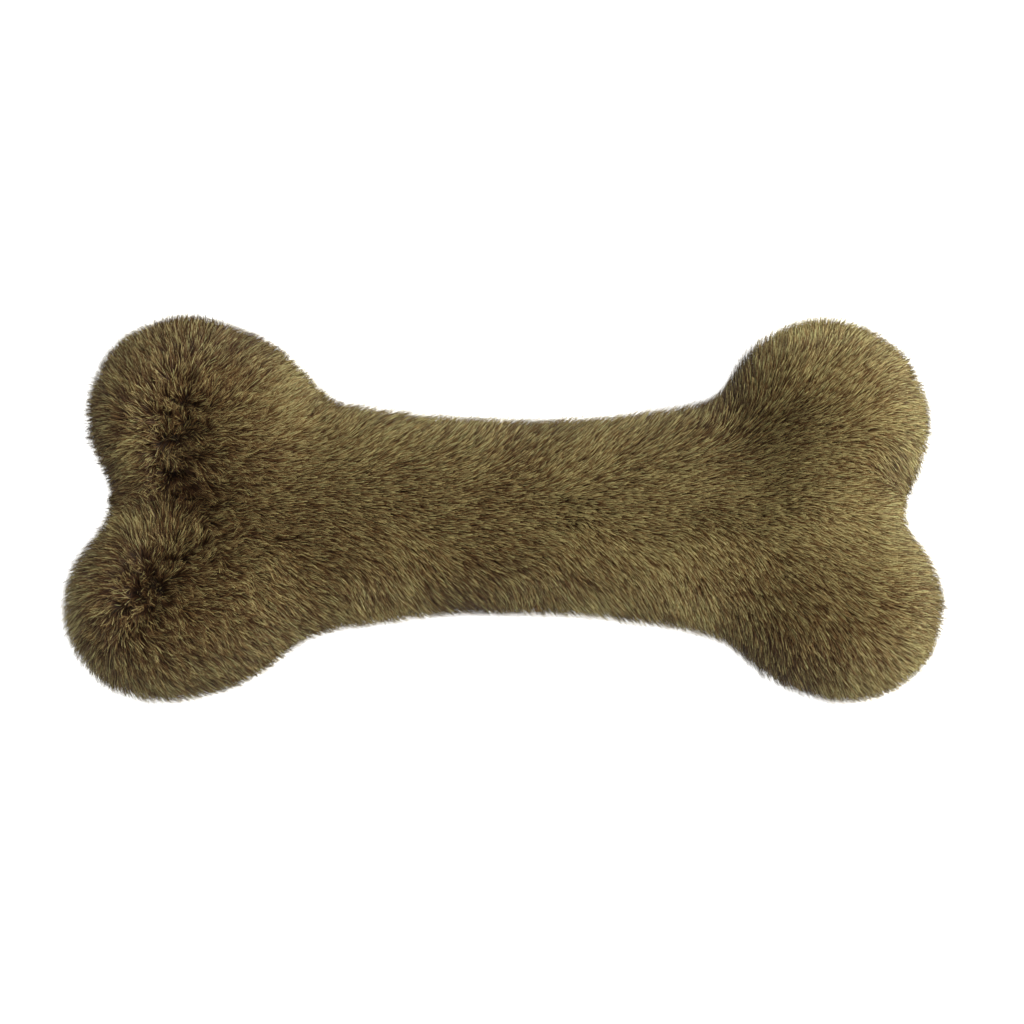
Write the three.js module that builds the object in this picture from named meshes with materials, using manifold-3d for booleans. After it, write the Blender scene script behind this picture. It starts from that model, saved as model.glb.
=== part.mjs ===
// A plush bone: two faux fur panels sewn together round their edge, stuffed with fibre,
// with a bellows squeaker between the two handfuls of filling in its shaft.
// Millimetres. X runs along the bone, Y across it and Z up from the floor that it lies on.
import * as THREE from "three";
import { mergeVertices } from "three/addons/utils/BufferGeometryUtils.js";
import Module from "manifold-3d";

const wasm = await Module();
wasm.setup();

// Outline over the pile, seen from above. The lobes' middles stand in pairs, this far apart.
const spread = { alongLobes: 227.4, acrossLobes: 63.8 };

// Each lobe is a circle that runs on into a flatter shoulder. Its middle is shifted a little from its
// corner of the spread, and the angle is the direction, in degrees from +X, where the shoulder starts.
const lobeForms = {
  left_far: { shiftX: 5, shiftY: 0.8, radius: 33.2, shoulderRadius: 56.7, shoulderAngle: 85.2 },
  left_near: { shiftX: -4.7, shiftY: -1.2, radius: 31.7, shoulderRadius: 60.2, shoulderAngle: -95.3 },
  right_far: { shiftX: -4.1, shiftY: -2.9, radius: 36, shoulderRadius: 90, shoulderAngle: 146.6 },
  right_near: { shiftX: 4.2, shiftY: -1, radius: 32.4, shoulderRadius: 51.7, shoulderAngle: -92.5 },
};

// Shallow arcs along the shaft, given by its width at the waist and the places of their narrowest points
const waistWidth = 66;
const waistFar = { x: 7, shiftY: -2.1, radius: 338 };
const waistNear = { x: 1.3, shiftY: -2.1, radius: 311 };

// Radii of the inward bends: from each shoulder into the shaft, and between the lobes of each end
const neckRadius = { left_far: 11, left_near: 38.7, right_far: 15.1, right_near: 33.6 };
const notchRadius = { left: 19.5, right: 15.2 };

// Thickness of the stuffed toy over the pile, and how wide round a lobe's middle it swells
const stuffed = { shaftThickness: 50, lobeThickness: 56, swellRadius: 30, footCut: 0.5 };

const fur = { backing: 1.2, pile: 6 };
const seam = { gap: 0.3, allowance: 6, threadDiameter: 0.6, threadGap: 0.3, stitchInset: 1 };
const filling = { clearance: 0.5, shaftEndX: 88, shaftEndRadius: 37, handfulGap: 0.3 };

const bellows = {
  radius: 17,
  foldDepth: 3,
  foldPitch: 5,
  foldLand: 0.8,
  wall: 0.8,
  shoulderRise: 1.5,
  neckHeight: 4,
};
const plug = { stemRadius: 5, stemLength: 9, boreRadius: 3.2, flangeRadius: 6.8, flangeThickness: 1 };
const reed = { width: 2.8, thickness: 0.2, tipInset: 1 };
const holder = { grooveWidth: 1.6, grooveDepth: 1.2, grooveEndWall: 1.6 };
const clamp = { height: 2.4 };
const fit = 0.15;

// Counts, angles and shares that set how finely the curves are faceted
const foldCount = 3;
const roundSegments = 28;
const halfRoundSegments = 14;
const riseAngles = [20, 40, 60, 80];
const facetAngle = 14;
const longestFacet = 14;
const finePerFacet = 6;
const cutOverrun = 5;
const mergeDistance = 0.0005;

const degree = Math.PI / 180;
const quarterTurn = Math.PI / 2;
const flat = (x, y) => new THREE.Vector2(x, y);
const direction = (angle) => flat(Math.cos(angle), Math.sin(angle));

const lobes = Object.fromEntries(
  Object.entries(lobeForms).map(([name, form]) => {
    const end = name.startsWith("left") ? -1 : 1;
    const side = name.endsWith("near") ? -1 : 1;
    const x = (end * spread.alongLobes) / 2 + form.shiftX;
    const y = (side * spread.acrossLobes) / 2 + form.shiftY;
    return [name, { ...form, x, y }];
  }),
);

// Tangent circles. A positive radius bulges out of the bone and a negative one bends into it.
function tangentCircle(first, second, radius, side) {
  const between = second.center.clone().sub(first.center);
  const span = between.length();
  const toFirst = Math.abs(first.radius - radius);
  const toSecond = Math.abs(second.radius - radius);
  const along = (span ** 2 + toFirst ** 2 - toSecond ** 2) / (2 * span);
  const across = side * Math.sqrt(Math.max(toFirst ** 2 - along ** 2, 0));
  const unit = between.normalize();
  const normal = flat(-unit.y, unit.x);
  const center = first.center.clone().addScaledVector(unit, along).addScaledVector(normal, across);
  return { center, radius };
}

function touchPoint(first, second) {
  const unit = second.center.clone().sub(first.center).normalize();
  const inside = first.radius * second.radius > 0 && Math.abs(first.radius) < Math.abs(second.radius);
  return first.center.clone().addScaledVector(unit, (inside ? -1 : 1) * Math.abs(first.radius));
}

function lobeCircle({ x, y, radius }) {
  return { center: flat(x, y), radius };
}

function shoulderCircle(lobe) {
  const away = direction(lobe.shoulderAngle * degree).multiplyScalar(lobe.radius - lobe.shoulderRadius);
  return { center: flat(lobe.x, lobe.y).add(away), radius: lobe.shoulderRadius };
}

// The waist's circles lie outside the bone, beyond its far side (1) or its near side (-1)
function waistPoint(waist, side) {
  return flat(waist.x, (side * waistWidth) / 2 + waist.shiftY);
}

function waistCircle(waist, side) {
  return { center: waistPoint(waist, side).add(flat(0, side * waist.radius)), radius: -waist.radius };
}

const farWaist = waistCircle(waistFar, 1);
const nearWaist = waistCircle(waistNear, -1);

function neckCircle(name, waist, side) {
  return tangentCircle(shoulderCircle(lobes[name]), waist, -neckRadius[name], side);
}

function notchCircle(end, side) {
  const far = lobeCircle(lobes[end + "_far"]);
  const near = lobeCircle(lobes[end + "_near"]);
  return tangentCircle(far, near, -notchRadius[end], side);
}

// The circles in the order that the outline meets them, counterclockwise from the near waist
const chain = [
  nearWaist,
  neckCircle("right_near", nearWaist, -1),
  shoulderCircle(lobes.right_near),
  lobeCircle(lobes.right_near),
  notchCircle("right", 1),
  lobeCircle(lobes.right_far),
  shoulderCircle(lobes.right_far),
  neckCircle("right_far", farWaist, 1),
  farWaist,
  neckCircle("left_far", farWaist, -1),
  shoulderCircle(lobes.left_far),
  lobeCircle(lobes.left_far),
  notchCircle("left", -1),
  lobeCircle(lobes.left_near),
  shoulderCircle(lobes.left_near),
  neckCircle("left_near", nearWaist, 1),
];

// Points round the outline, each with the unit normal that points into the bone. An arc that its
// neighbours leave no room for, whose ends have passed each other, is left out.
function outlinePoints(finer) {
  return chain.flatMap((arc, i) => {
    const before = chain.at(i - 1);
    const after = chain[(i + 1) % chain.length];
    const start = touchPoint(before, arc).sub(arc.center).angle();
    const end = touchPoint(arc, after).sub(arc.center).angle();
    const bend = Math.sign(arc.radius);
    const turn = THREE.MathUtils.euclideanModulo(bend * (end - start), 4 * quarterTurn);
    const sweep = turn < 3 * quarterTurn ? turn : 0;
    const byTurn = sweep / (facetAngle * degree);
    const byLength = (sweep * Math.abs(arc.radius)) / longestFacet;
    const count = Math.ceil(finer * Math.max(byTurn, byLength));
    return Array.from({ length: count }, (_, k) => {
      const out = direction(start + (bend * sweep * k) / count);
      const point = arc.center.clone().addScaledVector(out, Math.abs(arc.radius));
      return { point, inward: out.multiplyScalar(-bend) };
    });
  });
}

// Depth of the bone inward from an outline point: the radius of the largest circle that touches the
// outline there and stays inside it
function depthAt({ point, inward }, others) {
  return others.reduce((least, other) => {
    const apart = other.point.clone().sub(point);
    const ahead = inward.dot(apart);
    return ahead > mergeDistance ? Math.min(least, apart.lengthSq() / (2 * ahead)) : least;
  }, Infinity);
}

// Half the stuffed thickness at a place on the bone's middle line, which swells round each lobe's middle
function halfThicknessAt(place) {
  const swell = Object.values(lobes).reduce((sum, lobe) => {
    const away = place.distanceTo(flat(lobe.x, lobe.y)) / stuffed.swellRadius;
    return sum + Math.exp(-away * away);
  }, 0);
  return (stuffed.shaftThickness + (stuffed.lobeThickness - stuffed.shaftThickness) * Math.min(swell, 1)) / 2;
}

function measuredOutline() {
  const fine = outlinePoints(finePerFacet);
  return outlinePoints(1).map((sample) => {
    const depth = depthAt(sample, fine);
    const middle = sample.point.clone().addScaledVector(sample.inward, depth);
    return { ...sample, depth, half: halfThicknessAt(middle) };
  });
}

const outline = measuredOutline();
const outlineBox = new THREE.Box2().setFromPoints(outline.map(({ point }) => point));
const outlineCenter = outlineBox.getCenter(flat(0, 0));
const outlineSize = outlineBox.getSize(flat(0, 0));
const wall = fur.backing + fur.pile;

// Rings of points round the bone, all in step with the outline. The seam plane is z = 0.
function ringAt(insetOf, heightOf) {
  return outline.map((sample) => {
    const { x, y } = sample.point.clone().addScaledVector(sample.inward, insetOf(sample));
    return new THREE.Vector3(x, y, heightOf(sample));
  });
}

// A ring on the stuffed surface, some way under the pile's face, at an angle up from the seam plane
function surfaceRing(under, angleOf, base) {
  return ringAt(
    (sample) => under + (sample.depth - under) * (1 - Math.cos(angleOf(sample))),
    (sample) => base + (sample.half - under) * Math.sin(angleOf(sample)),
  );
}

function domeRings(under, base) {
  return riseAngles.map((angle) => surfaceRing(under, () => angle * degree, base));
}

// The surface's ring at a given height, where the seam allowance or its groove meets it
function surfaceRingAtHeight(under, height, base) {
  return surfaceRing(under, ({ half }) => Math.asin((height - base) / (half - under)), base);
}

function levelRing(inset, height) {
  return ringAt(
    () => inset,
    () => height,
  );
}

function geometryFrom(points, indices) {
  const geometry = new THREE.BufferGeometry().setFromPoints(points);
  geometry.setIndex(indices);
  return geometry;
}

// The faces inside a dome's last ring, the same for every dome so that nested ones stay parallel
const crownRing = surfaceRing(wall, () => riseAngles.at(-1) * degree, 0);
const crownFaces = THREE.ShapeUtils.triangulateShape(crownRing.map(({ x, y }) => flat(x, y)), []);

// Each value of a list with the one after it, and the last with the first
function loopPairs(values) {
  return values.map((value, i) => [value, values.at(i + 1 - values.length)]);
}

// The faces between two rings, given by the numbers of their first points
function bandFaces([low, high]) {
  return loopPairs([...outline.keys()]).flatMap(([i, next]) => [
    [low + i, low + next, high + next],
    [low + i, high + next, high + i],
  ]);
}

// Skins a stack of rings into a closed body, crowned on its first and last ring
function skinned(rings) {
  const starts = rings.map((_, level) => level * outline.length);
  const top = starts.at(-1);
  const indices = [
    ...loopPairs(starts).slice(0, -1).flatMap(bandFaces),
    ...crownFaces.map(([a, b, c]) => [a, c, b]),
    ...crownFaces.map((face) => face.map((corner) => corner + top)),
  ];
  return geometryFrom(rings.flat(), indices.flat());
}

// Skins rings that run round a thread's section, so that the last one joins the first
function skinnedLoop(rings) {
  const starts = rings.map((_, level) => level * outline.length);
  return geometryFrom(rings.flat(), loopPairs(starts).flatMap(bandFaces).flat());
}

function mirrored(geometry) {
  const copy = geometry.clone().scale(1, 1, -1);
  const indices = copy.index.array;
  for (let i = 0; i < indices.length; i += 3) {
    [indices[i + 1], indices[i + 2]] = [indices[i + 2], indices[i + 1]];
  }
  return copy;
}

// Solids that manifold-3d joins and cuts
function solidOf(geometry) {
  const bare = new THREE.BufferGeometry();
  bare.setAttribute("position", geometry.getAttribute("position").clone());
  bare.setIndex(geometry.index);
  const merged = mergeVertices(bare, mergeDistance);
  const triVerts = new Uint32Array(merged.index.array);
  return new wasm.Manifold(
    new wasm.Mesh({ numProp: 3, vertProperties: merged.getAttribute("position").array, triVerts }),
  );
}

function geometryOf(solid) {
  const { vertProperties, triVerts } = solid.getMesh();
  const geometry = new THREE.BufferGeometry();
  geometry.setAttribute("position", new THREE.BufferAttribute(vertProperties, 3));
  geometry.setIndex(new THREE.BufferAttribute(triVerts, 1));
  return geometry;
}

function block(width, depth, height, x, y, z) {
  return solidOf(new THREE.BoxGeometry(width, depth, height).translate(x, y, z));
}

function extruded(shape, depth, curveSegments) {
  return new THREE.ExtrudeGeometry(shape, { depth, bevelEnabled: false, curveSegments });
}

// Turned round the Z axis
function revolved(profile) {
  const points = profile.map(([radius, height]) => flat(radius, height));
  return new THREE.LatheGeometry(points, roundSegments).rotateX(quarterTurn);
}

// A fur panel: the pile's face outside, the backing inside and the seam allowance turned in at its rim
function panelGeometry() {
  const base = seam.gap / 2;
  const allowanceTop = base + fur.backing;
  return skinned([
    ...domeRings(wall, base).reverse(),
    surfaceRingAtHeight(wall, allowanceTop, base),
    levelRing(wall + seam.allowance, allowanceTop),
    levelRing(wall + seam.allowance, base),
    levelRing(0, base),
    ...domeRings(0, base),
  ]);
}

// The deepest point of the lobes' faceted undersides, less what the feet are flattened by
const footDepth =
  seam.gap / 2 + (stuffed.lobeThickness / 2) * Math.sin(riseAngles.at(-1) * degree) - stuffed.footCut;

function backPanelGeometry() {
  const [length, width] = [outlineSize.x + 2 * cutOverrun, outlineSize.y + 2 * cutOverrun];
  const middle = -footDepth - cutOverrun / 2;
  const floor = block(length, width, cutOverrun, outlineCenter.x, outlineCenter.y, middle);
  return geometryOf(solidOf(mirrored(panelGeometry())).subtract(floor));
}

// The lock-stitched seam: one thread lies along each seam allowance, close to the fold
const threadRadius = seam.threadDiameter / 2;
const threadInset = wall + seam.stitchInset;
const threadHeight = seam.gap / 2 + fur.backing + seam.threadGap + threadRadius;

function threadGeometry(height) {
  return skinnedLoop([
    levelRing(threadInset - threadRadius, height),
    levelRing(threadInset, height + threadRadius),
    levelRing(threadInset + threadRadius, height),
    levelRing(threadInset, height - threadRadius),
  ]);
}

// The whole stuffed space, with a groove round it for the seam allowance and its stitching
function stuffedSpace() {
  const under = wall + filling.clearance;
  const grooveTop = threadHeight + threadRadius + filling.clearance;
  const grooveInset = wall + seam.allowance + filling.clearance;
  const base = seam.gap / 2;
  const upper = [
    levelRing(grooveInset, grooveTop),
    surfaceRingAtHeight(under, grooveTop, base),
    ...domeRings(under, base),
  ];
  const lower = upper.map((ring) => ring.map(({ x, y, z }) => new THREE.Vector3(x, y, -z)));
  return solidOf(skinned([...lower.reverse(), ...upper]));
}

// The shaft's filling ends in a dome at each lobe pair. A grown copy cuts the lobes' fillings.
const waistMiddle = waistPoint(waistFar, 1).add(waistPoint(waistNear, -1)).divideScalar(2);

function shaftCutter(grown) {
  const radius = filling.shaftEndRadius + grown;
  const straight = filling.shaftEndX - filling.shaftEndRadius;
  const reach = outlineSize.y / 2;
  const shape = new THREE.Shape();
  shape.moveTo(-straight, -reach);
  shape.lineTo(straight, -reach);
  shape.absarc(straight, 0, radius, -quarterTurn, quarterTurn, false);
  shape.lineTo(straight, reach);
  shape.lineTo(-straight, reach);
  shape.absarc(-straight, 0, radius, quarterTurn, 3 * quarterTurn, false);
  const height = stuffed.lobeThickness;
  const bar = extruded(shape, height, halfRoundSegments);
  return solidOf(bar.translate(waistMiddle.x, waistMiddle.y, -height / 2));
}

// A slab that parts the two lobes of one end along the line from their notch inward. Side -1 is all
// that lies on the far lobe's side of that line and 1 all that lies on the near lobe's.
function lobeHalfSpace(end, side) {
  const far = lobeCircle(lobes[end + "_far"]);
  const near = lobeCircle(lobes[end + "_near"]);
  const across = near.center.clone().sub(far.center);
  const share = far.radius / (far.radius + near.radius);
  const meeting = far.center.clone().addScaledVector(across, share);
  const size = outlineSize.x;
  const half = new THREE.BoxGeometry(size, size, size);
  half.translate(0, (size + filling.handfulGap) / 2, 0);
  half.rotateZ(across.angle() - quarterTurn + (side < 0 ? Math.PI : 0));
  half.translate(meeting.x, meeting.y, 0);
  return solidOf(half);
}

function endOf(end) {
  const outward = end === "left" ? -1 : 1;
  const size = outlineSize.x;
  return block(size, size, size, waistMiddle.x + (outward * size) / 2, waistMiddle.y, 0);
}

// The squeaker's heights, counted from the seam plane that its middle lies in
const foldsHeight = foldCount * bellows.foldPitch;
const neckBase = foldsHeight + bellows.shoulderRise;
const neckTop = neckBase + bellows.neckHeight;
const squeakerHeight = neckTop + fit + plug.flangeThickness;
const squeakerBottom = -squeakerHeight / 2;
const flangeBottom = squeakerBottom + neckTop + fit;
const stemBottom = flangeBottom - plug.stemLength;
const outletTop = flangeBottom + plug.flangeThickness;
const neckInnerRadius = plug.stemRadius + fit;

function foldProfile(radialShift) {
  const crest = bellows.radius + radialShift;
  const root = crest - bellows.foldDepth;
  const land = bellows.foldLand / 2;
  const middle = bellows.foldPitch / 2;
  return Array.from({ length: foldCount }, (_, fold) => {
    const start = fold * bellows.foldPitch;
    return [
      [root, start + land],
      [crest, start + middle - land],
      [crest, start + middle + land],
      [root, start + bellows.foldPitch - land],
    ];
  }).flat();
}

function bellowsGeometry() {
  const outside = foldProfile(0);
  const inside = foldProfile(-bellows.wall);
  const root = bellows.radius - bellows.foldDepth;
  inside[0][1] = bellows.wall;
  return revolved([
    [0, 0],
    [root, 0],
    ...outside,
    [neckInnerRadius + bellows.wall, neckBase],
    [neckInnerRadius + bellows.wall, neckTop],
    [neckInnerRadius, neckTop],
    [neckInnerRadius, neckBase - bellows.wall],
    ...inside.reverse(),
    [0, bellows.wall],
  ]).translate(0, 0, squeakerBottom);
}

// The pocket that the squeaker fills, between the two handfuls of filling in the shaft
function pocketSolid() {
  const room = filling.clearance;
  const wide = bellows.radius + room;
  const narrow = plug.flangeRadius + room;
  return solidOf(
    revolved([
      [0, -room],
      [wide, -room],
      [wide, neckBase + room],
      [narrow, neckBase + room],
      [narrow, squeakerHeight + room],
      [0, squeakerHeight + room],
    ]).translate(waistMiddle.x, waistMiddle.y, squeakerBottom),
  );
}

function plugGeometry() {
  return revolved([
    [plug.boreRadius, stemBottom],
    [plug.stemRadius, stemBottom],
    [plug.stemRadius, flangeBottom],
    [plug.flangeRadius, flangeBottom],
    [plug.flangeRadius, outletTop],
    [plug.boreRadius, outletTop],
    [plug.boreRadius, stemBottom],
  ]);
}

// Part of a round rod, beyond a flat face at some distance from its middle
function rodSide(radius, faceAt, bottom, top) {
  const half = Math.acos(faceAt / radius);
  const shape = new THREE.Shape();
  shape.absarc(0, 0, radius, -half, half, false);
  shape.closePath();
  return extruded(shape, top - bottom, halfRoundSegments).translate(0, 0, bottom);
}

const rodRadius = plug.boreRadius - fit;

// The half rod that the reed beats on, with the air groove that the reed covers
function holderGeometry() {
  const rod = solidOf(rodSide(rodRadius, 0, stemBottom, outletTop).rotateZ(Math.PI));
  const grooveBottom = stemBottom + holder.grooveEndWall;
  const grooveHeight = outletTop + cutOverrun - grooveBottom;
  const depth = holder.grooveDepth + cutOverrun;
  const middle = grooveBottom + grooveHeight / 2;
  const groove = block(depth, holder.grooveWidth, grooveHeight, depth / 2 - holder.grooveDepth, 0, middle);
  return geometryOf(rod.subtract(groove));
}

// A thin strip with a round tip, standing on the outlet's end of the holder
function reedGeometry() {
  const half = reed.width / 2;
  const tip = stemBottom + reed.tipInset;
  const shape = new THREE.Shape();
  shape.moveTo(half, outletTop);
  shape.lineTo(-half, outletTop);
  shape.lineTo(-half, tip + half);
  shape.absarc(0, tip + half, half, Math.PI, 2 * Math.PI, false);
  const strip = extruded(shape, reed.thickness, halfRoundSegments);
  return strip.rotateX(quarterTurn).rotateZ(quarterTurn).translate(fit, 0, 0);
}

function clampGeometry() {
  return rodSide(rodRadius, 2 * fit + reed.thickness, outletTop - clamp.height, outletTop);
}

// Materials
function plain(color, roughness) {
  return () => new THREE.MeshStandardMaterial({ color, roughness, metalness: 0 });
}

const fauxFur = plain(0x5a4a2d, 0.95);
const fibreFill = plain(0xf1efe8, 1);
const polyesterThread = plain(0x4a3a24, 0.7);
const softPlastic = plain(0xe9e6dc, 0.45);
const rigidPlastic = plain(0xd9d6cc, 0.4);
const reedFilm = plain(0xc9b57a, 0.3);

const bone = new THREE.Group();
bone.position.set(-outlineCenter.x, -outlineCenter.y, footDepth);

function place(name, geometry, material, parent = bone) {
  const mesh = new THREE.Mesh(geometry, material());
  mesh.name = name;
  parent.add(mesh);
}

place("fur_panel_front", panelGeometry(), fauxFur);
place("fur_panel_back", backPanelGeometry(), fauxFur);
place("seam_needle_thread", threadGeometry(threadHeight), polyesterThread);
place("seam_bobbin_thread", threadGeometry(-threadHeight), polyesterThread);

const space = stuffedSpace();
const shaftFilling = space.intersect(shaftCutter(0)).subtract(pocketSolid());
const layer = block(
  outlineSize.x,
  outlineSize.y,
  stuffed.lobeThickness,
  waistMiddle.x,
  waistMiddle.y,
  (stuffed.lobeThickness + filling.handfulGap) / 2,
);
place("shaft_filling_front", geometryOf(shaftFilling.intersect(layer)), fibreFill);
place("shaft_filling_back", geometryOf(shaftFilling.intersect(layer.rotate([180, 0, 0]))), fibreFill);

const lobeSpace = space.subtract(shaftCutter(filling.clearance));
for (const end of ["left", "right"]) {
  const pair = lobeSpace.intersect(endOf(end));
  place(`${end}_far_filling`, geometryOf(pair.intersect(lobeHalfSpace(end, -1))), fibreFill);
  place(`${end}_near_filling`, geometryOf(pair.intersect(lobeHalfSpace(end, 1))), fibreFill);
}

const squeaker = new THREE.Group();
squeaker.position.set(waistMiddle.x, waistMiddle.y, 0);
bone.add(squeaker);
place("squeaker_bellows", bellowsGeometry(), softPlastic, squeaker);
place("squeaker_plug", plugGeometry(), rigidPlastic, squeaker);
place("reed_holder", holderGeometry(), rigidPlastic, squeaker);
place("reed", reedGeometry(), reedFilm, squeaker);
place("reed_clamp", clampGeometry(), rigidPlastic, squeaker);

const part = new THREE.Group();
part.add(bone);

export default part;
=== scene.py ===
"""A plush bone in long faux fur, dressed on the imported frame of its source.

Metres, with X along the bone, Y across it and Z up from the floor that it lies on.
The sizes of the sewing pattern are in millimetres, as its maker would write them.
"""

import logging
import math
from collections.abc import Iterator, Sequence
from contextlib import contextmanager
from dataclasses import dataclass, field
from enum import Enum
from typing import Any, NamedTuple

import bmesh
import bpy
import numpy as np
from bpy.types import Material, Mesh, Object
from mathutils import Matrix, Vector, noise
from mathutils.geometry import tessellate_polygon


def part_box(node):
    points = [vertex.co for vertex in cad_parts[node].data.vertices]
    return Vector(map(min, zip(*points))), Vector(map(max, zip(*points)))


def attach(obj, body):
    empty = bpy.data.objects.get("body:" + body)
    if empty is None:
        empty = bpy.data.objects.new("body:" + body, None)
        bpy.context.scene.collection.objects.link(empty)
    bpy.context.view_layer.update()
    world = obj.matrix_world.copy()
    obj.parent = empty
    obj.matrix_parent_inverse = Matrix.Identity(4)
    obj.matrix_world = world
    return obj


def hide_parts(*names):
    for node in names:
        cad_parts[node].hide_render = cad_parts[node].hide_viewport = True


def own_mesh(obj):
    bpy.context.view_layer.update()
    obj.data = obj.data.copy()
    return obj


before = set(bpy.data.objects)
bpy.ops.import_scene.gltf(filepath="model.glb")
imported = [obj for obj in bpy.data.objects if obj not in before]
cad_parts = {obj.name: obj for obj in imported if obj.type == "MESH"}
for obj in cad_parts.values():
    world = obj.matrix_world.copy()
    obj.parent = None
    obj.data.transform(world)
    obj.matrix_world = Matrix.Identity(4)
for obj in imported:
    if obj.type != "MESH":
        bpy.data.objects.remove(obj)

MM = 0.001
BAKE_MAP = "OFBake"

# How deep the pile is at the seam, in millimetres
PILE_DEPTH = 6.0

# A strand's place up the pile's map: a brown strand's span starts at 0, and an olive one's, which is painted
# rim light, starts further up
STRAND_SPAN = 0.48
RIM_LIGHT_OLIVE_START = 0.52
COMBING_LAYERS = ("up", "nap", "root", "chance", "tone", "mess", "length", "patch")
log = logging.getLogger("plush_bone")

Colour = tuple[float, float, float, float]
Point = tuple[float, float, float]
Face = tuple[int, ...]


def colour(red: int, green: int, blue: int) -> Colour:
    """Turns a screen colour into the linear one that shaders use.

    Args:
        red: Red, 0 to 255.
        green: Green, 0 to 255.
        blue: Blue, 0 to 255.

    Returns:
        The linear colour, opaque.
    """
    # The sRGB curve, without the short straight foot that only near-black values use
    linear = [((part / 255 + 0.055) / 1.055) ** 2.4 for part in (red, green, blue)]
    return (*linear, 1.0)


def eased(value: np.ndarray, low: float, high: float) -> np.ndarray:
    """Runs smoothly from 0 at the low value to 1 at the high one."""
    share = np.clip((value - low) / (high - low), 0, 1)
    return share * share * (3 - 2 * share)


class Signal:
    """A node's output that takes part in Python arithmetic."""

    def __init__(self, graph: "Graph", socket: bpy.types.NodeSocket) -> None:
        """Wraps one output socket of a graph."""
        self.graph = graph
        self.socket = socket

    def __add__(self, other: Any) -> "Signal":
        """Adds a number, a vector or another signal."""
        return self.graph.combine("ADD", self, other)

    def __radd__(self, other: Any) -> "Signal":
        """Adds this signal to a number or a vector."""
        return self.graph.combine("ADD", other, self)

    def __sub__(self, other: Any) -> "Signal":
        """Takes a number, a vector or another signal away."""
        return self.graph.combine("SUBTRACT", self, other)

    def __rsub__(self, other: Any) -> "Signal":
        """Takes this signal away from a number or a vector."""
        return self.graph.combine("SUBTRACT", other, self)

    def __mul__(self, other: Any) -> "Signal":
        """Multiplies by a number, a vector or another signal."""
        return self.graph.combine("MULTIPLY", self, other)


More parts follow.
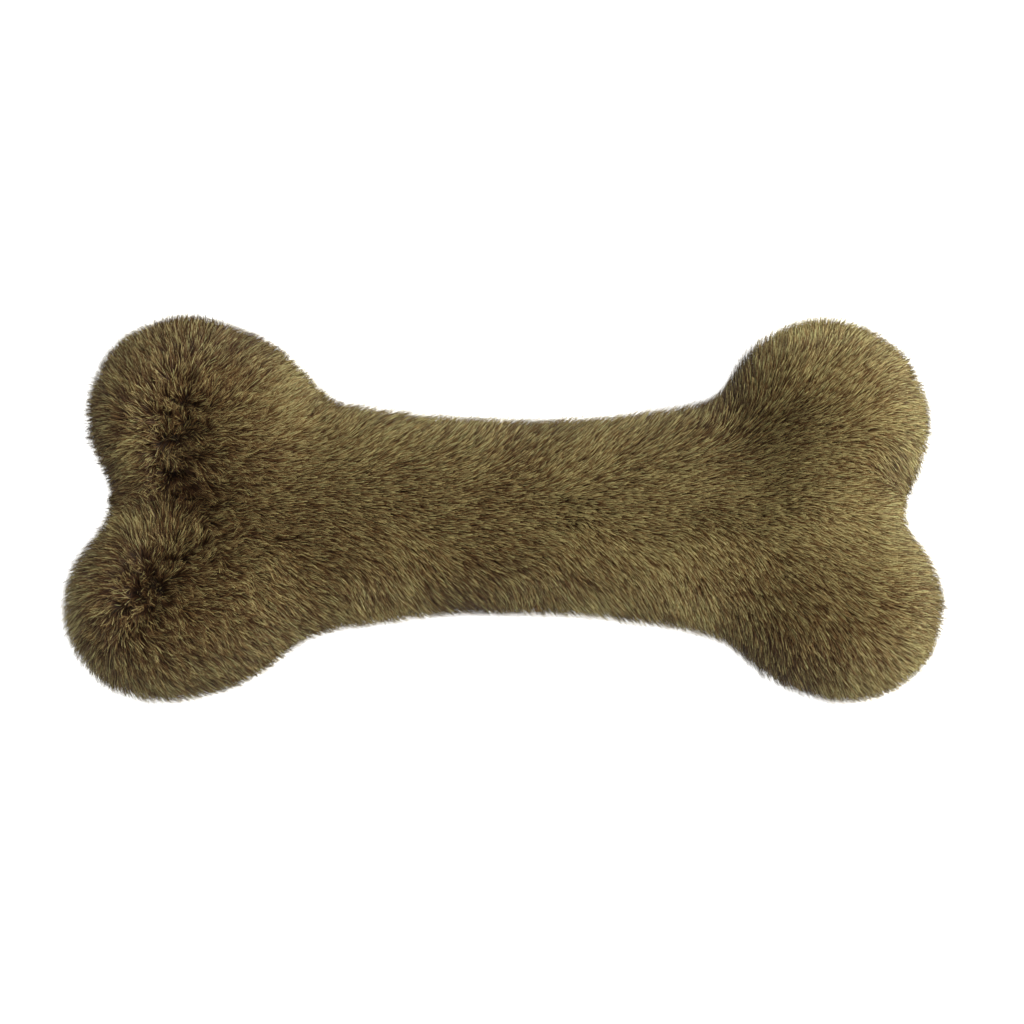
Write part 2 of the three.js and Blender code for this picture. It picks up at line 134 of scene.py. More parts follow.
class Graph:
    """Adds nodes to one node tree."""

    def __init__(self, tree: bpy.types.NodeTree) -> None:
        """Works on a tree that exists."""
        self.tree = tree

    def node(self, kind: str, settings: dict | None = None, inputs: dict | None = None) -> bpy.types.Node:
        """Adds a node, sets its choices first and then its sockets.

        Args:
            kind: The node's type.
            settings: Its own properties, and "stops" for a colour ramp.
            inputs: Values or signals by socket name.

        Returns:
            The node.
        """
        made = self.tree.nodes.new(kind)
        for name, value in (settings or {}).items():
            if name == "stops":
                self.set_stops(made.color_ramp, value)
            else:
                setattr(made, name, value)
        for name, value in (inputs or {}).items():
            socket = name if isinstance(name, int) else self.place(made.inputs, name)
            if isinstance(value, Signal):
                self.tree.links.new(value.socket, made.inputs[socket])
            else:
                made.inputs[socket].default_value = value
        return made

    @staticmethod
    def place(sockets: Any, name: str) -> int:
        """Finds the number of the enabled socket that has a name."""
        return next(i for i, socket in enumerate(sockets) if socket.enabled and socket.name == name)

    @staticmethod
    def set_stops(ramp: bpy.types.ColorRamp, stops: Sequence[tuple[float, Colour]]) -> None:
        """Gives a colour ramp its stops.

        Args:
            ramp: The ramp.
            stops: The place and the colour of each stop, from left to right.
        """
        while len(ramp.elements) < len(stops):
            ramp.elements.new(1.0)
        for element, (position, shade) in zip(ramp.elements, stops):
            element.position = position
            element.color = shade

    def add(
        self, kind: str, settings: dict | None = None, inputs: dict | None = None, output: str | int = 0
    ) -> Signal:
        """Adds a node and returns one of its outputs.

        Args:
            kind: The node's type.
            settings: Its own properties.
            inputs: Values or signals by socket name.
            output: The output's name or number.

        Returns:
            That output as a signal.
        """
        made = self.node(kind, settings, inputs)
        number = output if isinstance(output, int) else self.place(made.outputs, output)
        return Signal(self, made.outputs[number])

    @staticmethod
    def is_vector(value: Any) -> bool:
        """Tells whether a value is a vector or a vector signal.

        Args:
            value: A number, a vector or a signal.

        Returns:
            True for a vector.
        """
        if isinstance(value, Signal):
            return value.socket.type in ("VECTOR", "RGBA")
        return not isinstance(value, (int, float))

    def combine(self, operation: str, first: Any, second: Any) -> Signal:
        """Adds the Math or Vector Math node for an operation on two values.

        Args:
            operation: ADD, SUBTRACT or MULTIPLY.
            first: A number, a vector or a signal.
            second: Another of these.

        Returns:
            The result.
        """
        vectors = [self.is_vector(first), self.is_vector(second)]
        if not any(vectors):
            return self.add("ShaderNodeMath", {"operation": operation}, {0: first, 1: second})
        if operation == "MULTIPLY" and not all(vectors):
            vector, scale = (first, second) if vectors[0] else (second, first)
            return self.add("ShaderNodeVectorMath", {"operation": "SCALE"}, {0: vector, "Scale": scale})
        return self.add("ShaderNodeVectorMath", {"operation": operation}, {0: first, 1: second})

    def vector(self, operation: str, *values: Any, output: str = "Vector") -> Signal:
        """Adds a Vector Math node."""
        inputs = dict(enumerate(values))
        return self.add("ShaderNodeVectorMath", {"operation": operation}, inputs, output)

    def math(self, operation: str, *values: Any) -> Signal:
        """Adds a Math node."""
        return self.add("ShaderNodeMath", {"operation": operation}, dict(enumerate(values)))

    def between(self, value: Any, low: float, high: float, start: float, end: float) -> Signal:
        """Maps low..high to start..end smoothly, and holds the ends outside."""
        inputs = {"Value": value, "From Min": low, "From Max": high, "To Min": start, "To Max": end}
        return self.add("ShaderNodeMapRange", {"interpolation_type": "SMOOTHSTEP"}, inputs, "Result")

    def mix(self, factor: Any, first: Any, second: Any) -> Signal:
        """Mixes two colours."""
        inputs = {"Factor": factor, "A": first, "B": second}
        return self.add("ShaderNodeMix", {"data_type": "RGBA"}, inputs, "Result")

    def parts(self, vector: Any) -> list[Signal]:
        """Splits a vector into its three numbers."""
        made = self.node("ShaderNodeSeparateXYZ", None, {"Vector": vector})
        return [Signal(self, socket) for socket in made.outputs]

    def noise(self, place: Any, size: float, output: str = "Fac", detail: float = 2.0) -> Signal:
        """Adds a noise whose features are about a size in metres across."""
        inputs = {"Vector": place, "Scale": 1 / size, "Detail": detail}
        return self.add("ShaderNodeTexNoise", None, inputs, output)


class Surface(Graph):
    """The node tree of a material that has one shader."""

    def __init__(self, name: str) -> None:
        """Starts an empty material.

        Args:
            name: The material's name.
        """
        self.material = bpy.data.materials.new(name)
        self.material.use_nodes = True
        super().__init__(self.material.node_tree)
        self.tree.nodes.clear()

    def bump(self, strength: float, distance: float, height: Signal) -> Signal:
        """Turns a height into a bumped normal, with the distance in metres."""
        inputs = {"Strength": strength, "Distance": distance, "Height": height}
        return self.add("ShaderNodeBump", None, inputs, "Normal")

    def finish(self, inputs: dict[str, Any]) -> Material:
        """Ends the tree in a Principled shader.

        Args:
            inputs: The shader's values or signals by socket name.

        Returns:
            The material.
        """
        shader = self.node("ShaderNodeBsdfPrincipled", None, inputs)
        goal = self.node("ShaderNodeOutputMaterial")
        self.tree.links.new(shader.outputs["BSDF"], goal.inputs["Surface"])
        return self.material


class Maker(Graph):
    """A Geometry Nodes tree with named inputs, which turns an object into a plain mesh."""

    def __init__(self, name: str) -> None:
        """Starts a tree with a geometry in and a geometry out.

        Args:
            name: The tree's name.
        """
        super().__init__(bpy.data.node_groups.new(name, "GeometryNodeTree"))
        self.identifiers: dict[str, str] = {}
        self.tree.interface.new_socket("Geometry", in_out="OUTPUT", socket_type="NodeSocketGeometry")
        self.tree.interface.new_socket("Geometry", in_out="INPUT", socket_type="NodeSocketGeometry")
        self.source = self.tree.nodes.new("NodeGroupInput")
        self.geometry = Signal(self, self.source.outputs["Geometry"])

    def ask(self, **kinds: str) -> list[Signal]:
        """Adds named inputs to the tree.

        Args:
            kinds: The kind of each input by its name.

        Returns:
            The inputs as signals, in the same order.
        """
        for name, kind in kinds.items():
            item = self.tree.interface.new_socket(name, in_out="INPUT", socket_type=f"NodeSocket{kind}")
            self.identifiers[name] = item.identifier
        return [Signal(self, self.source.outputs[name]) for name in kinds]

    def named(self, name: str, kind: str = "FLOAT_VECTOR") -> Signal:
        """Reads a named attribute."""
        return self.add("GeometryNodeInputNamedAttribute", {"data_type": kind}, {"Name": name}, "Attribute")

    def store(self, geometry: Signal, name: str, value: Signal, kind: str, domain: str = "POINT") -> Signal:
        """Stores a named attribute.

        Args:
            geometry: The geometry that gets it.
            name: Its name.
            value: Its value.
            kind: Its data type.
            domain: What it is stored on.

        Returns:
            The geometry that has it.
        """
        settings = {"data_type": kind, "domain": domain}
        inputs = {"Geometry": geometry, "Name": name, "Value": value}
        return self.add("GeometryNodeStoreNamedAttribute", settings, inputs)

    def finish(self, geometry: Signal, material: Signal) -> None:
        """Ends the tree in Realize Instances and Set Material.

        Args:
            geometry: What the tree has made.
            material: The material that it gets.
        """
        real = self.add("GeometryNodeRealizeInstances", None, {"Geometry": geometry})
        dressed = self.add("GeometryNodeSetMaterial", None, {"Geometry": real, "Material": material})
        goal = self.tree.nodes.new("NodeGroupOutput")
        self.tree.links.new(dressed.socket, goal.inputs["Geometry"])

    def run(self, base: Object, name: str, values: dict[str, Any]) -> Object:
        """Runs the tree on an object and keeps the result as a new plain mesh object, shaded smooth.

        Args:
            base: The object that the tree works on.
            name: The new object's name.
            values: The tree's inputs by name.

        Returns:
            The new object.
        """
        modifier = base.modifiers.new(self.tree.name, "NODES")
        modifier.node_group = self.tree
        for key, value in values.items():
            modifier[self.identifiers[key]] = value
        mesh = evaluated(base)
        base.modifiers.remove(modifier)
        mesh.name = name
        set_smooth(mesh)
        return linked(name, mesh)


def linked(name: str, data: bpy.types.ID) -> Object:
    """Puts a mesh, a light or a camera in the scene.

    Args:
        name: The object's name.
        data: The mesh, light or camera.

    Returns:
        The object.
    """
    made = bpy.data.objects.new(name, data)
    bpy.context.scene.collection.objects.link(made)
    return made


def evaluated(piece: Object) -> Mesh:
    """Makes a plain mesh of an object with its modifiers applied.

    Args:
        piece: The object, which isn't changed.

    Returns:
        The mesh.
    """
    graph = bpy.context.evaluated_depsgraph_get()
    graph.update()
    return bpy.data.meshes.new_from_object(piece.evaluated_get(graph), depsgraph=graph)


def new_object(name: str, points: Any, faces: Any) -> Object:
    """Makes a mesh object.

    Args:
        name: Its name.
        points: Its points, in metres.
        faces: The numbers of each face's points.

    Returns:
        The object.
    """
    mesh = bpy.data.meshes.new(name)
    mesh.from_pydata([tuple(map(float, point)) for point in points], [], [tuple(map(int, f)) for f in faces])
    mesh.validate()
    return linked(name, mesh)


@contextmanager
def edited(mesh: Mesh) -> Iterator[bmesh.types.BMesh]:
    """Opens a mesh for editing and writes it back at the end.

    Args:
        mesh: The mesh.

    Yields:
        The mesh in its editable form.
    """
    edit = bmesh.new()
    edit.from_mesh(mesh)
    yield edit
    edit.to_mesh(mesh)
    edit.free()


def face_outward(mesh: Mesh) -> None:
    """Turns every face of a closed mesh outward."""
    with edited(mesh) as edit:
        bmesh.ops.recalc_face_normals(edit, faces=edit.faces)


def set_all(target: Any, **values: Any) -> None:
    """Sets several properties of one Blender item."""
    for name, value in values.items():
        setattr(target, name, value)


def make_even(piece: Object, voxel: float, passes: int) -> None:
    """Gives a closed form an even mesh and smooths it.

    Args:
        piece: The form.
        voxel: How far the mesh's points lie apart, in metres.
        passes: How many times it is smoothed.
    """
    set_all(piece.modifiers.new("even", "REMESH"), mode="VOXEL", voxel_size=voxel)
    set_all(piece.modifiers.new("relaxed", "SMOOTH"), factor=0.5, iterations=passes)
    apply_modifiers(piece)


def make_round(piece: Object) -> Object:
    """Subdivides an object's mesh once into a rounder one."""
    set_all(piece.modifiers.new("rounded", "SUBSURF"), levels=1, render_levels=1)
    return apply_modifiers(piece)


def apply_modifiers(piece: Object) -> Object:
    """Applies all of an object's modifiers to its own mesh.

    Args:
        piece: The object.

    Returns:
        The same object.
    """
    mesh = evaluated(piece)
    piece.modifiers.clear()
    old = piece.data
    piece.data = mesh
    mesh.name = piece.name
    bpy.data.meshes.remove(old)
    return piece


def discard(piece: Object) -> None:
    """Deletes a helper object with its mesh.

    Args:
        piece: The helper.
    """
    mesh = piece.data
    bpy.data.objects.remove(piece)
    bpy.data.meshes.remove(mesh)


def of_points(mesh: Mesh, name: str = "co") -> np.ndarray:
    """Reads a vector of each of a mesh's points.

    Args:
        mesh: The mesh.
        name: "co" for places or "normal" for normals.

    Returns:
        One row for each point.
    """
    values = np.empty(len(mesh.vertices) * 3, np.float32)
    mesh.vertices.foreach_get(name, values)
    return values.reshape(-1, 3).astype(float)


def move_points(mesh: Mesh, places: np.ndarray) -> None:
    """Moves a mesh's points to places in metres."""
    mesh.vertices.foreach_set("co", places.astype(np.float32).ravel())
    mesh.update()


def strip_attributes(mesh: Mesh) -> None:
    """Removes what the combing wrote on a mesh.

    Args:
        mesh: The mesh.
    """
    for name in COMBING_LAYERS:
        layer = mesh.attributes.get(name)
        if layer:
            mesh.attributes.remove(layer)


def report(piece: Object) -> None:
    """Logs a piece's name and size."""
    piece.data.calc_loop_triangles()
    log.info("%s: %d triangles", piece.name, len(piece.data.loop_triangles))


def set_smooth(mesh: Mesh) -> None:
    """Shades every face smooth."""
    mesh.polygons.foreach_set("use_smooth", np.ones(len(mesh.polygons), bool))


def paint(piece: Object, material: Material) -> None:
    """Gives an object one material."""
    piece.data.materials.clear()
    piece.data.materials.append(material)


class Circle(NamedTuple):
    """A circle that the outline follows. A negative radius bends into the bone."""

    center: np.ndarray
    radius: float


def direction(degrees: float) -> np.ndarray:
    """Returns the unit vector at an angle from +X."""
    return np.array([math.cos(math.radians(degrees)), math.sin(math.radians(degrees))])


def tangent_circle(first: Circle, second: Circle, radius: float, side: int) -> Circle:
    """Finds the circle of a radius that touches two others.

    Args:
        first: The circle that it comes from.
        second: The circle that it goes to.
        radius: Its signed radius.
        side: 1 for the solution left of the line between the two, -1 for the right.

    Returns:
        The touching circle.
    """
    between = second.center - first.center
    span = np.linalg.norm(between)
    to_first = abs(first.radius - radius)
    to_second = abs(second.radius - radius)
    along = (span**2 + to_first**2 - to_second**2) / (2 * span)
    across = side * math.sqrt(max(to_first**2 - along**2, 0.0))
    unit = between / span
    normal = np.array([-unit[1], unit[0]])
    return Circle(first.center + unit * along + normal * across, radius)


def touch_point(first: Circle, second: Circle) -> np.ndarray:
    """Finds the point where two touching circles meet.

    Args:
        first: One circle.
        second: The other.

    Returns:
        The point, in millimetres.
    """
    between = second.center - first.center
    inside = first.radius * second.radius > 0 and abs(first.radius) < abs(second.radius)
    away = abs(first.radius) * (-1 if inside else 1)
    return first.center + between / np.linalg.norm(between) * away


@dataclass(frozen=True)
class Lobe:
    """One knuckle of the bone seen from above, in millimetres and degrees."""

    x: float
    y: float
    radius: float
    shoulder_radius: float
    shoulder_angle: float

    def circle(self) -> Circle:
        """Returns the knuckle's own circle."""
        return Circle(np.array([self.x, self.y]), self.radius)

    def shoulder(self) -> Circle:
        """Returns the flatter circle that the knuckle runs on into."""
        away = direction(self.shoulder_angle) * (self.radius - self.shoulder_radius)
        return Circle(np.array([self.x, self.y]) + away, self.shoulder_radius)


@dataclass(frozen=True)
class Waist:
    """A shallow arc along one side of the shaft, in millimetres."""

    x: float
    y: float
    radius: float

    def circle(self) -> Circle:
        """Returns the arc's circle, which lies outside the bone."""
        away = math.copysign(self.radius, self.y)
        return Circle(np.array([self.x, self.y + away]), -self.radius)


@dataclass
class BonePattern:
    """The bone's outline and its stuffed form, in millimetres round the pattern's own middle."""

    left_far: Lobe = Lobe(-108.7, 32.7, 33.2, 56.7, 85.2)
    left_near: Lobe = Lobe(-118.4, -33.1, 31.7, 60.2, -95.3)
    right_far: Lobe = Lobe(109.6, 29.0, 36.0, 90.0, 146.6)
    right_near: Lobe = Lobe(117.9, -32.9, 32.4, 51.7, -92.5)
    far_waist: Waist = Waist(7.0, 30.9, 338.0)
    near_waist: Waist = Waist(1.3, -35.1, 311.0)
    neck_radii: tuple[float, float, float, float] = (33.6, 15.1, 11.0, 38.7)
    notch_radii: tuple[float, float] = (15.2, 19.5)
    shaft_thickness: float = 50.0
    lobe_thickness: float = 56.0
    swell_radius: float = 30.0
    step: float = 1.2
    points: np.ndarray = field(init=False)
    inward: np.ndarray = field(init=False)
    depth: np.ndarray = field(init=False)
    half: np.ndarray = field(init=False)
    shift: np.ndarray = field(init=False)

    def __post_init__(self) -> None:
        """Works out the outline's points, and where the pattern lies in the frame."""
        self.points, self.inward = self.outline()
        self.depth = self.depths()
        middles = self.points + self.inward * self.depth[:, None]
        self.half = self.half_thickness(middles)
        low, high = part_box("squeaker_plug")
        plug = (np.array(low) + np.array(high))[:2] / (2 * MM)
        middle_x = (self.far_waist.x + self.near_waist.x) / 2
        middle_y = (self.far_waist.y + self.near_waist.y) / 2
        front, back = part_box("fur_panel_front"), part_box("fur_panel_back")
        seam = (front[0].z + back[1].z) / (2 * MM)
        self.shift = np.array([plug[0] - middle_x, plug[1] - middle_y, seam])

    def lobes(self) -> list[Lobe]:
        """Returns the four knuckles."""
        return [self.left_far, self.left_near, self.right_far, self.right_near]

    def chain(self) -> list[Circle]:
        """Puts the circles in the order that the outline meets them.

        Returns:
            The circles, counterclockwise.
        """
        far, near = self.far_waist.circle(), self.near_waist.circle()
        right_near, right_far = self.right_near, self.right_far
        left_far, left_near = self.left_far, self.left_near
        lobes, waists = (right_near, right_far, left_far, left_near), (near, far, far, near)
        necks = [
            tangent_circle(lobe.shoulder(), waist, -radius, side)
            for lobe, waist, radius, side in zip(lobes, waists, self.neck_radii, (-1, 1, -1, 1))
        ]
        ends = ((right_far, right_near), (left_far, left_near))
        notches = [
            tangent_circle(a.circle(), b.circle(), -radius, side)
            for (a, b), radius, side in zip(ends, self.notch_radii, (1, -1))
        ]
        return [
            near, necks[0], right_near.shoulder(), right_near.circle(), notches[0], right_far.circle(),
            right_far.shoulder(), necks[1], far, necks[2], left_far.shoulder(), left_far.circle(),
            notches[1], left_near.circle(), left_near.shoulder(), necks[3],
        ]

    def outline(self) -> tuple[np.ndarray, np.ndarray]:
        """Walks round the outline.

        Returns:
            Its points and their unit normals into the bone, one row each.
        """
        chain = self.chain()
        points, inward = [], []
        for number, arc in enumerate(chain):
            start = touch_point(chain[number - 1], arc) - arc.center
            end = touch_point(arc, chain[(number + 1) % len(chain)]) - arc.center
            bend = math.copysign(1, arc.radius)
            first = math.atan2(start[1], start[0])
            sweep = (bend * (math.atan2(end[1], end[0]) - first)) % math.tau
            # A sweep of nearly a full turn is a small step backwards, so the arc is left out
            if sweep > 1.5 * math.pi:
                continue
            count = max(math.ceil(sweep * abs(arc.radius) / self.step), 2)
            for share in np.arange(count) / count:
                angle = first + bend * sweep * share
                out = np.array([math.cos(angle), math.sin(angle)])
                points.append(arc.center + out * abs(arc.radius))
                inward.append(-bend * out)
        return np.array(points), np.array(inward)

    def depths(self) -> np.ndarray:
        """Finds the largest circle inside the outline that touches each point.

        Returns:
            The circles' radii, in millimetres.
        """
        apart = self.points[None] - self.points[:, None]
        ahead = np.einsum("ik,ijk->ij", self.inward, apart)
        squared = (apart**2).sum(2)
        return np.where(ahead > 1e-3, squared / (2 * np.maximum(ahead, 1e-3)), np.inf).min(1)

    def half_thickness(self, places: np.ndarray) -> np.ndarray:
        """Works out half the stuffed thickness on the bone's middle line.

        Args:
            places: Places on that line, in millimetres.

        Returns:
            Half the thickness at each, in millimetres.
        """
        squares = [((places - (lobe.x, lobe.y)) ** 2).sum(1) for lobe in self.lobes()]
        swell = sum(np.exp(-square / self.swell_radius**2) for square in squares)
        extra = (self.lobe_thickness - self.shaft_thickness) * np.minimum(swell, 1)
        return (self.shaft_thickness + extra) / 2

    def surface_ring(self, under: float, below: float, degrees: float) -> np.ndarray:
        """Returns a ring of the stuffed surface, in metres in the frame.

        Args:
            under: How far it lies inside the pile's face at the seam, in millimetres.
            below: How far it lies under the pile's face at the top, in millimetres.
            degrees: The angle up from the seam plane, negative below it.

        Returns:
            One row for each point of the outline.
        """
        angle = math.radians(degrees)
        inset = under + (self.depth - under) * (1 - math.cos(angle))
        height = (self.half - below) * math.sin(angle)
        flat = self.points + self.inward * inset[:, None]
        return (np.column_stack([flat, height]) + self.shift) * MM

    def level_ring(self, inset: float, height: float) -> np.ndarray:
        """Returns a level ring inside the outline, in metres in the frame."""
        flat = self.points + self.inward * inset
        return (np.column_stack([flat, np.full(len(flat), height)]) + self.shift) * MM

    def nearest(self, places: np.ndarray) -> np.ndarray:
        """Finds the outline point nearest to each place.

        Args:
            places: Places in the frame, in metres.

        Returns:
            The number of the nearest point for each.
        """
        flat = places[:, :2] / MM - self.shift[:2]
        found = [((chunk[:, None] - self.points[None]) ** 2).sum(2).argmin(1) for chunk in batches(flat)]
        return np.concatenate(found)


def batches(rows: np.ndarray, size: int = 4000) -> list[np.ndarray]:
    """Cuts an array into batches of rows."""
    return [rows[start : start + size] for start in range(0, len(rows), size)]


def ring_faces(count: int, levels: int) -> list[Face]:
    """Joins rings of points, stacked from the bottom up, with quads.

    Args:
        count: How many points a ring has.
        levels: How many rings there are.

    Returns:
        The quads.
    """
    corners = [(0, 0), (0, 1), (1, 1), (1, 0)]
    return [
        tuple((level + up) * count + (i + on) % count for up, on in corners)
        for level in range(levels - 1)
        for i in range(count)
    ]


@dataclass
class Settling:
    """Lets a stuffed form settle as sewn cloth that its filling presses outwards.

    The slack, the band that is held at the seam and the reach of a point's travel are in millimetres.
    """

    pressure: float = 4.0
    frames: int = 20
    slack: float = 1.2
    seam_band: float = 3.0
    reach: float = 2.6

    def run(self, body: Object, seam: float) -> None:
        """Settles a closed form whose seam is held in its plane.

        Args:
            body: The form, whose mesh is changed.
            seam: The seam plane's height in metres.
        """
        mesh = body.data
        sewn, out = of_points(mesh), of_points(mesh, "normal")
        from_seam = np.abs(sewn[:, 2] - seam) / MM
        held = from_seam < self.seam_band
        loose = sewn - out * (self.slack * MM * eased(from_seam, self.seam_band, 4 * self.seam_band))[:, None]
        move_points(mesh, loose)
        pinned = body.vertex_groups.new(name="seam")
        pinned.add([int(i) for i in np.flatnonzero(held)], 1.0, "REPLACE")
        cloth = body.modifiers.new("cloth", "CLOTH")
        set_all(
            cloth.settings,
            quality=6,
            mass=0.3,
            tension_stiffness=20.0,
            compression_stiffness=20.0,
            bending_stiffness=0.6,
            use_pressure=True,
            uniform_pressure_force=self.pressure,
            vertex_group_mass=pinned.name,
        )
        cloth.settings.effector_weights.gravity = 0.0
        cloth.point_cache.frame_end = self.frames
        scene = bpy.context.scene
        for number in range(1, self.frames + 1):
            scene.frame_set(number)
        settled = evaluated(body)
        moved = of_points(settled) - sewn
        bpy.data.meshes.remove(settled)
        body.modifiers.remove(cloth)
        body.vertex_groups.clear()
        scene.frame_set(1)
        far = np.linalg.norm(moved, axis=1)
        log.info("settled: %.2f mm on average, %.2f mm at most", far.mean() / MM, far.max() / MM)
        capped = sewn + moved * (np.minimum(far, self.reach * MM) / np.maximum(far, 1e-9))[:, None]
        move_points(mesh, capped)


@dataclass
class StuffedBody:
    """The stuffed bone under its pile, as one closed form.

    The flat pile's depth is in millimetres, the rings' angles in degrees and the voxels in metres.
    """

    pattern: BonePattern
    settling: Settling
    flat_pile: float = 4.0
    ring_step: float = 6.0
    last_angle: float = 84.0
    voxel: float = 0.0045
    passes: int = 2

    def form(self) -> Object:
        """Builds the closed form that the two panels make when they are stuffed.

        Returns:
            The form, as an object.
        """
        angles = np.arange(-self.last_angle, self.last_angle + 1e-6, self.ring_step)
        rings = [self.pattern.surface_ring(PILE_DEPTH, self.flat_pile, angle) for angle in angles]
        count = len(rings[0])
        faces = ring_faces(count, len(rings))
        cap = tessellate_polygon([[Vector((x, y, 0.0)) for x, y, _ in rings[-1]]])
        top = count * (len(rings) - 1)
        faces += [tuple(top + i for i in face) for face in cap]
        faces += [tuple(face[::-1]) for face in cap]
        body = new_object("stuffed_form", np.concatenate(rings), faces)
        face_outward(body.data)
        make_even(body, self.voxel, self.passes)
        self.settling.run(body, self.pattern.shift[2] * MM)
        return make_round(body)


class Patch(Enum):
    """The parts of a panel that are combed as separate pieces of pile."""

    LEFT_FAR = 0
    LEFT_NEAR = 1
    SHAFT_LEFT = 2
    SHAFT_RIGHT = 3
    RIGHT_FAR = 4
    RIGHT_NEAR = 5


@dataclass
class Combing:
    """Which way the pile lies, how long it is and how light, all over the bone, with painted light and shade
    in its tone.

    Each stroke gives a place in millimetres and the way that the pile lies there in degrees from +X.
    Each spot gives a place and a radius in millimetres and how much lighter the pile is there, or darker
    where that is negative, as painted shade in a dimple, a parting or a crease.
    Tones run from 0, dark, to 1, light. Turns are in radians and lengths in millimetres. A band gives the
    two places in millimetres, or the two steepnesses, between which an effect comes in.
    """

    pattern: BonePattern
    lobe_start: float = 72.0
    middle_x: float = 4.0
    stroke_reach: float = 5.0
    droop: float = 0.5
    full_flow: float = 0.95
    strokes: tuple[tuple[int, int, int], ...] = (
        (-107, 63, 90), (-130, 52, 135), (-141, 38, 175), (-138, 24, 200), (-126, 10, 210), (-122, 44, 130),
        (-92, 43, 45), (-84, 54, 45), (-86, 32, 30), (-93, 18, 0), (-100, 10, 330), (-130, -2, 165),
        (-138, -18, 185), (-144, -40, 210), (-136, -52, 245), (-122, -53, 295), (-112, -45, 320),
        (-104, -26, 0), (-109, -5, 60), (-117, -6, 100), (-95, -4, 5), (-95, -50, 315), (-82, -28, 325),
        (-70, 5, 0), (-55, 33, 45), (-43, 21, 15), (-10, 29, 60), (40, 29, 45), (22, 20, 40), (-20, 8, 5),
        (45, 5, 355), (-50, -4, 340), (0, -7, 350), (-30, -20, 320), (33, -20, 315), (-43, -31, 300),
        (10, -32, 290), (45, -32, 295), (70, 30, 70), (85, 49, 95), (103, 60, 100), (119, 61, 60),
        (132, 54, 35), (141, 35, 355), (130, 15, 310), (100, 41, 45), (111, 37, 30), (100, 24, 10),
        (84, 25, 25), (72, 13, 355), (122, 4, 5), (135, -5, 335), (116, -10, 320), (130, -16, 355),
        (146, -31, 355), (143, -45, 325), (122, -58, 310), (107, -61, 295), (106, -21, 325),
        (72, -22, 305), (78, -43, 285), (95, -53, 285), (90, -32, 315),
    )
    painted_shade_and_tone_spots: tuple[tuple[float, float, float, float], ...] = (
        (-109.4, 8, 10, -0.80), (-122.6, -21.5, 9, -0.60), (-131.7, -38.9, 6, -0.36), (-109, 50, 12, -0.26),
        (-91, 52, 11, -0.30), (-131, 26, 8, -0.24), (-128, 9, 9, -0.42), (-101, -48, 15, -0.20),
        (-79, -40, 12, -0.24), (-57, -12, 10, -0.18), (-15, -25, 11, -0.32), (8, 21, 11, -0.22),
        (45, 22, 15, -0.13), (70, 31, 12, -0.46), (-59, 32, 11, -0.26), (77, 41, 11, -0.46),
        (122, 40, 12, -0.13), (127, 13, 8, -0.50), (88, -49, 14, -0.48), (107, -46, 15, -0.32),
        (142, -32, 14, -0.12), (-122.4, 23, 6.5, 0.38), (-108, 33, 6, 0.15), (-118, 12, 5, 0.32),
        (-122, -9, 7.5, 0.52), (-148, -30, 12, 0.22), (-70, 45, 9, 0.10), (-34, -34, 11, 0.16),
        (-16, 31, 6, 0.15), (20, 0, 9, 0.12), (28, -31, 9, 0.26), (53, -24, 15, 0.12),
        (66, -33, 10, 0.24), (45, 4, 25, 0.17), (86, 1, 9, 0.15),
    )
    middle_tone: float = 0.50
    # Painted light and shade in the tone, following how the key light from the upper right falls: the gains
    # paint light and the losses paint shade, within their bands below
    right_painted_light: float = 0.12
    left_painted_shade: float = 0.32
    near_painted_shade: float = 0.06
    near_shaft_painted_shade: float = 0.19
    side_painted_shade: float = 0.05
    left_side_painted_light: float = 0.13
    right_side_painted_shade: float = 0.05
    under_painted_light: float = 0.2
    least_mess: float = 0.3
    left_mess: float = 2.5
    standing_mess: float = 3.0
    standing_length: float = 4.4
    lying_gain: float = 1.8
    side_gain: float = 4.4
    right_painted_light_band: tuple[float, float] = (40, 150)
    left_painted_shade_band: tuple[float, float] = (50, 130)
    near_painted_shade_band: tuple[float, float] = (5, 30)
    near_painted_shade_reach_band: tuple[float, float] = (-60, -20)
    shaft_painted_shade_band: tuple[float, float] = (60, 90)
    near_shaft_painted_shade_band: tuple[float, float] = (8, 26)
    left_side_painted_light_band: tuple[float, float] = (40, 100)
    right_side_painted_shade_band: tuple[float, float] = (0, 100)
    under_painted_light_band: tuple[float, float] = (0.0, 0.3)
    mess_band: tuple[float, float] = (60, 100)

    def patch_of(self, places: np.ndarray) -> np.ndarray:
        """Finds the patch that each place belongs to.

        Args:
            places: Places in metres.

        Returns:
            The number of each place's patch.
        """
        x, y = places[:, 0] / MM, places[:, 1] / MM
        far = y > 0
        lobes = np.where(
            x < 0,
            np.where(far, Patch.LEFT_FAR.value, Patch.LEFT_NEAR.value),
            np.where(far, Patch.RIGHT_FAR.value, Patch.RIGHT_NEAR.value),
        )
        shaft = np.where(x < self.middle_x, Patch.SHAFT_LEFT.value, Patch.SHAFT_RIGHT.value)
        return np.where(np.abs(x - self.middle_x) > self.lobe_start, lobes, shaft)

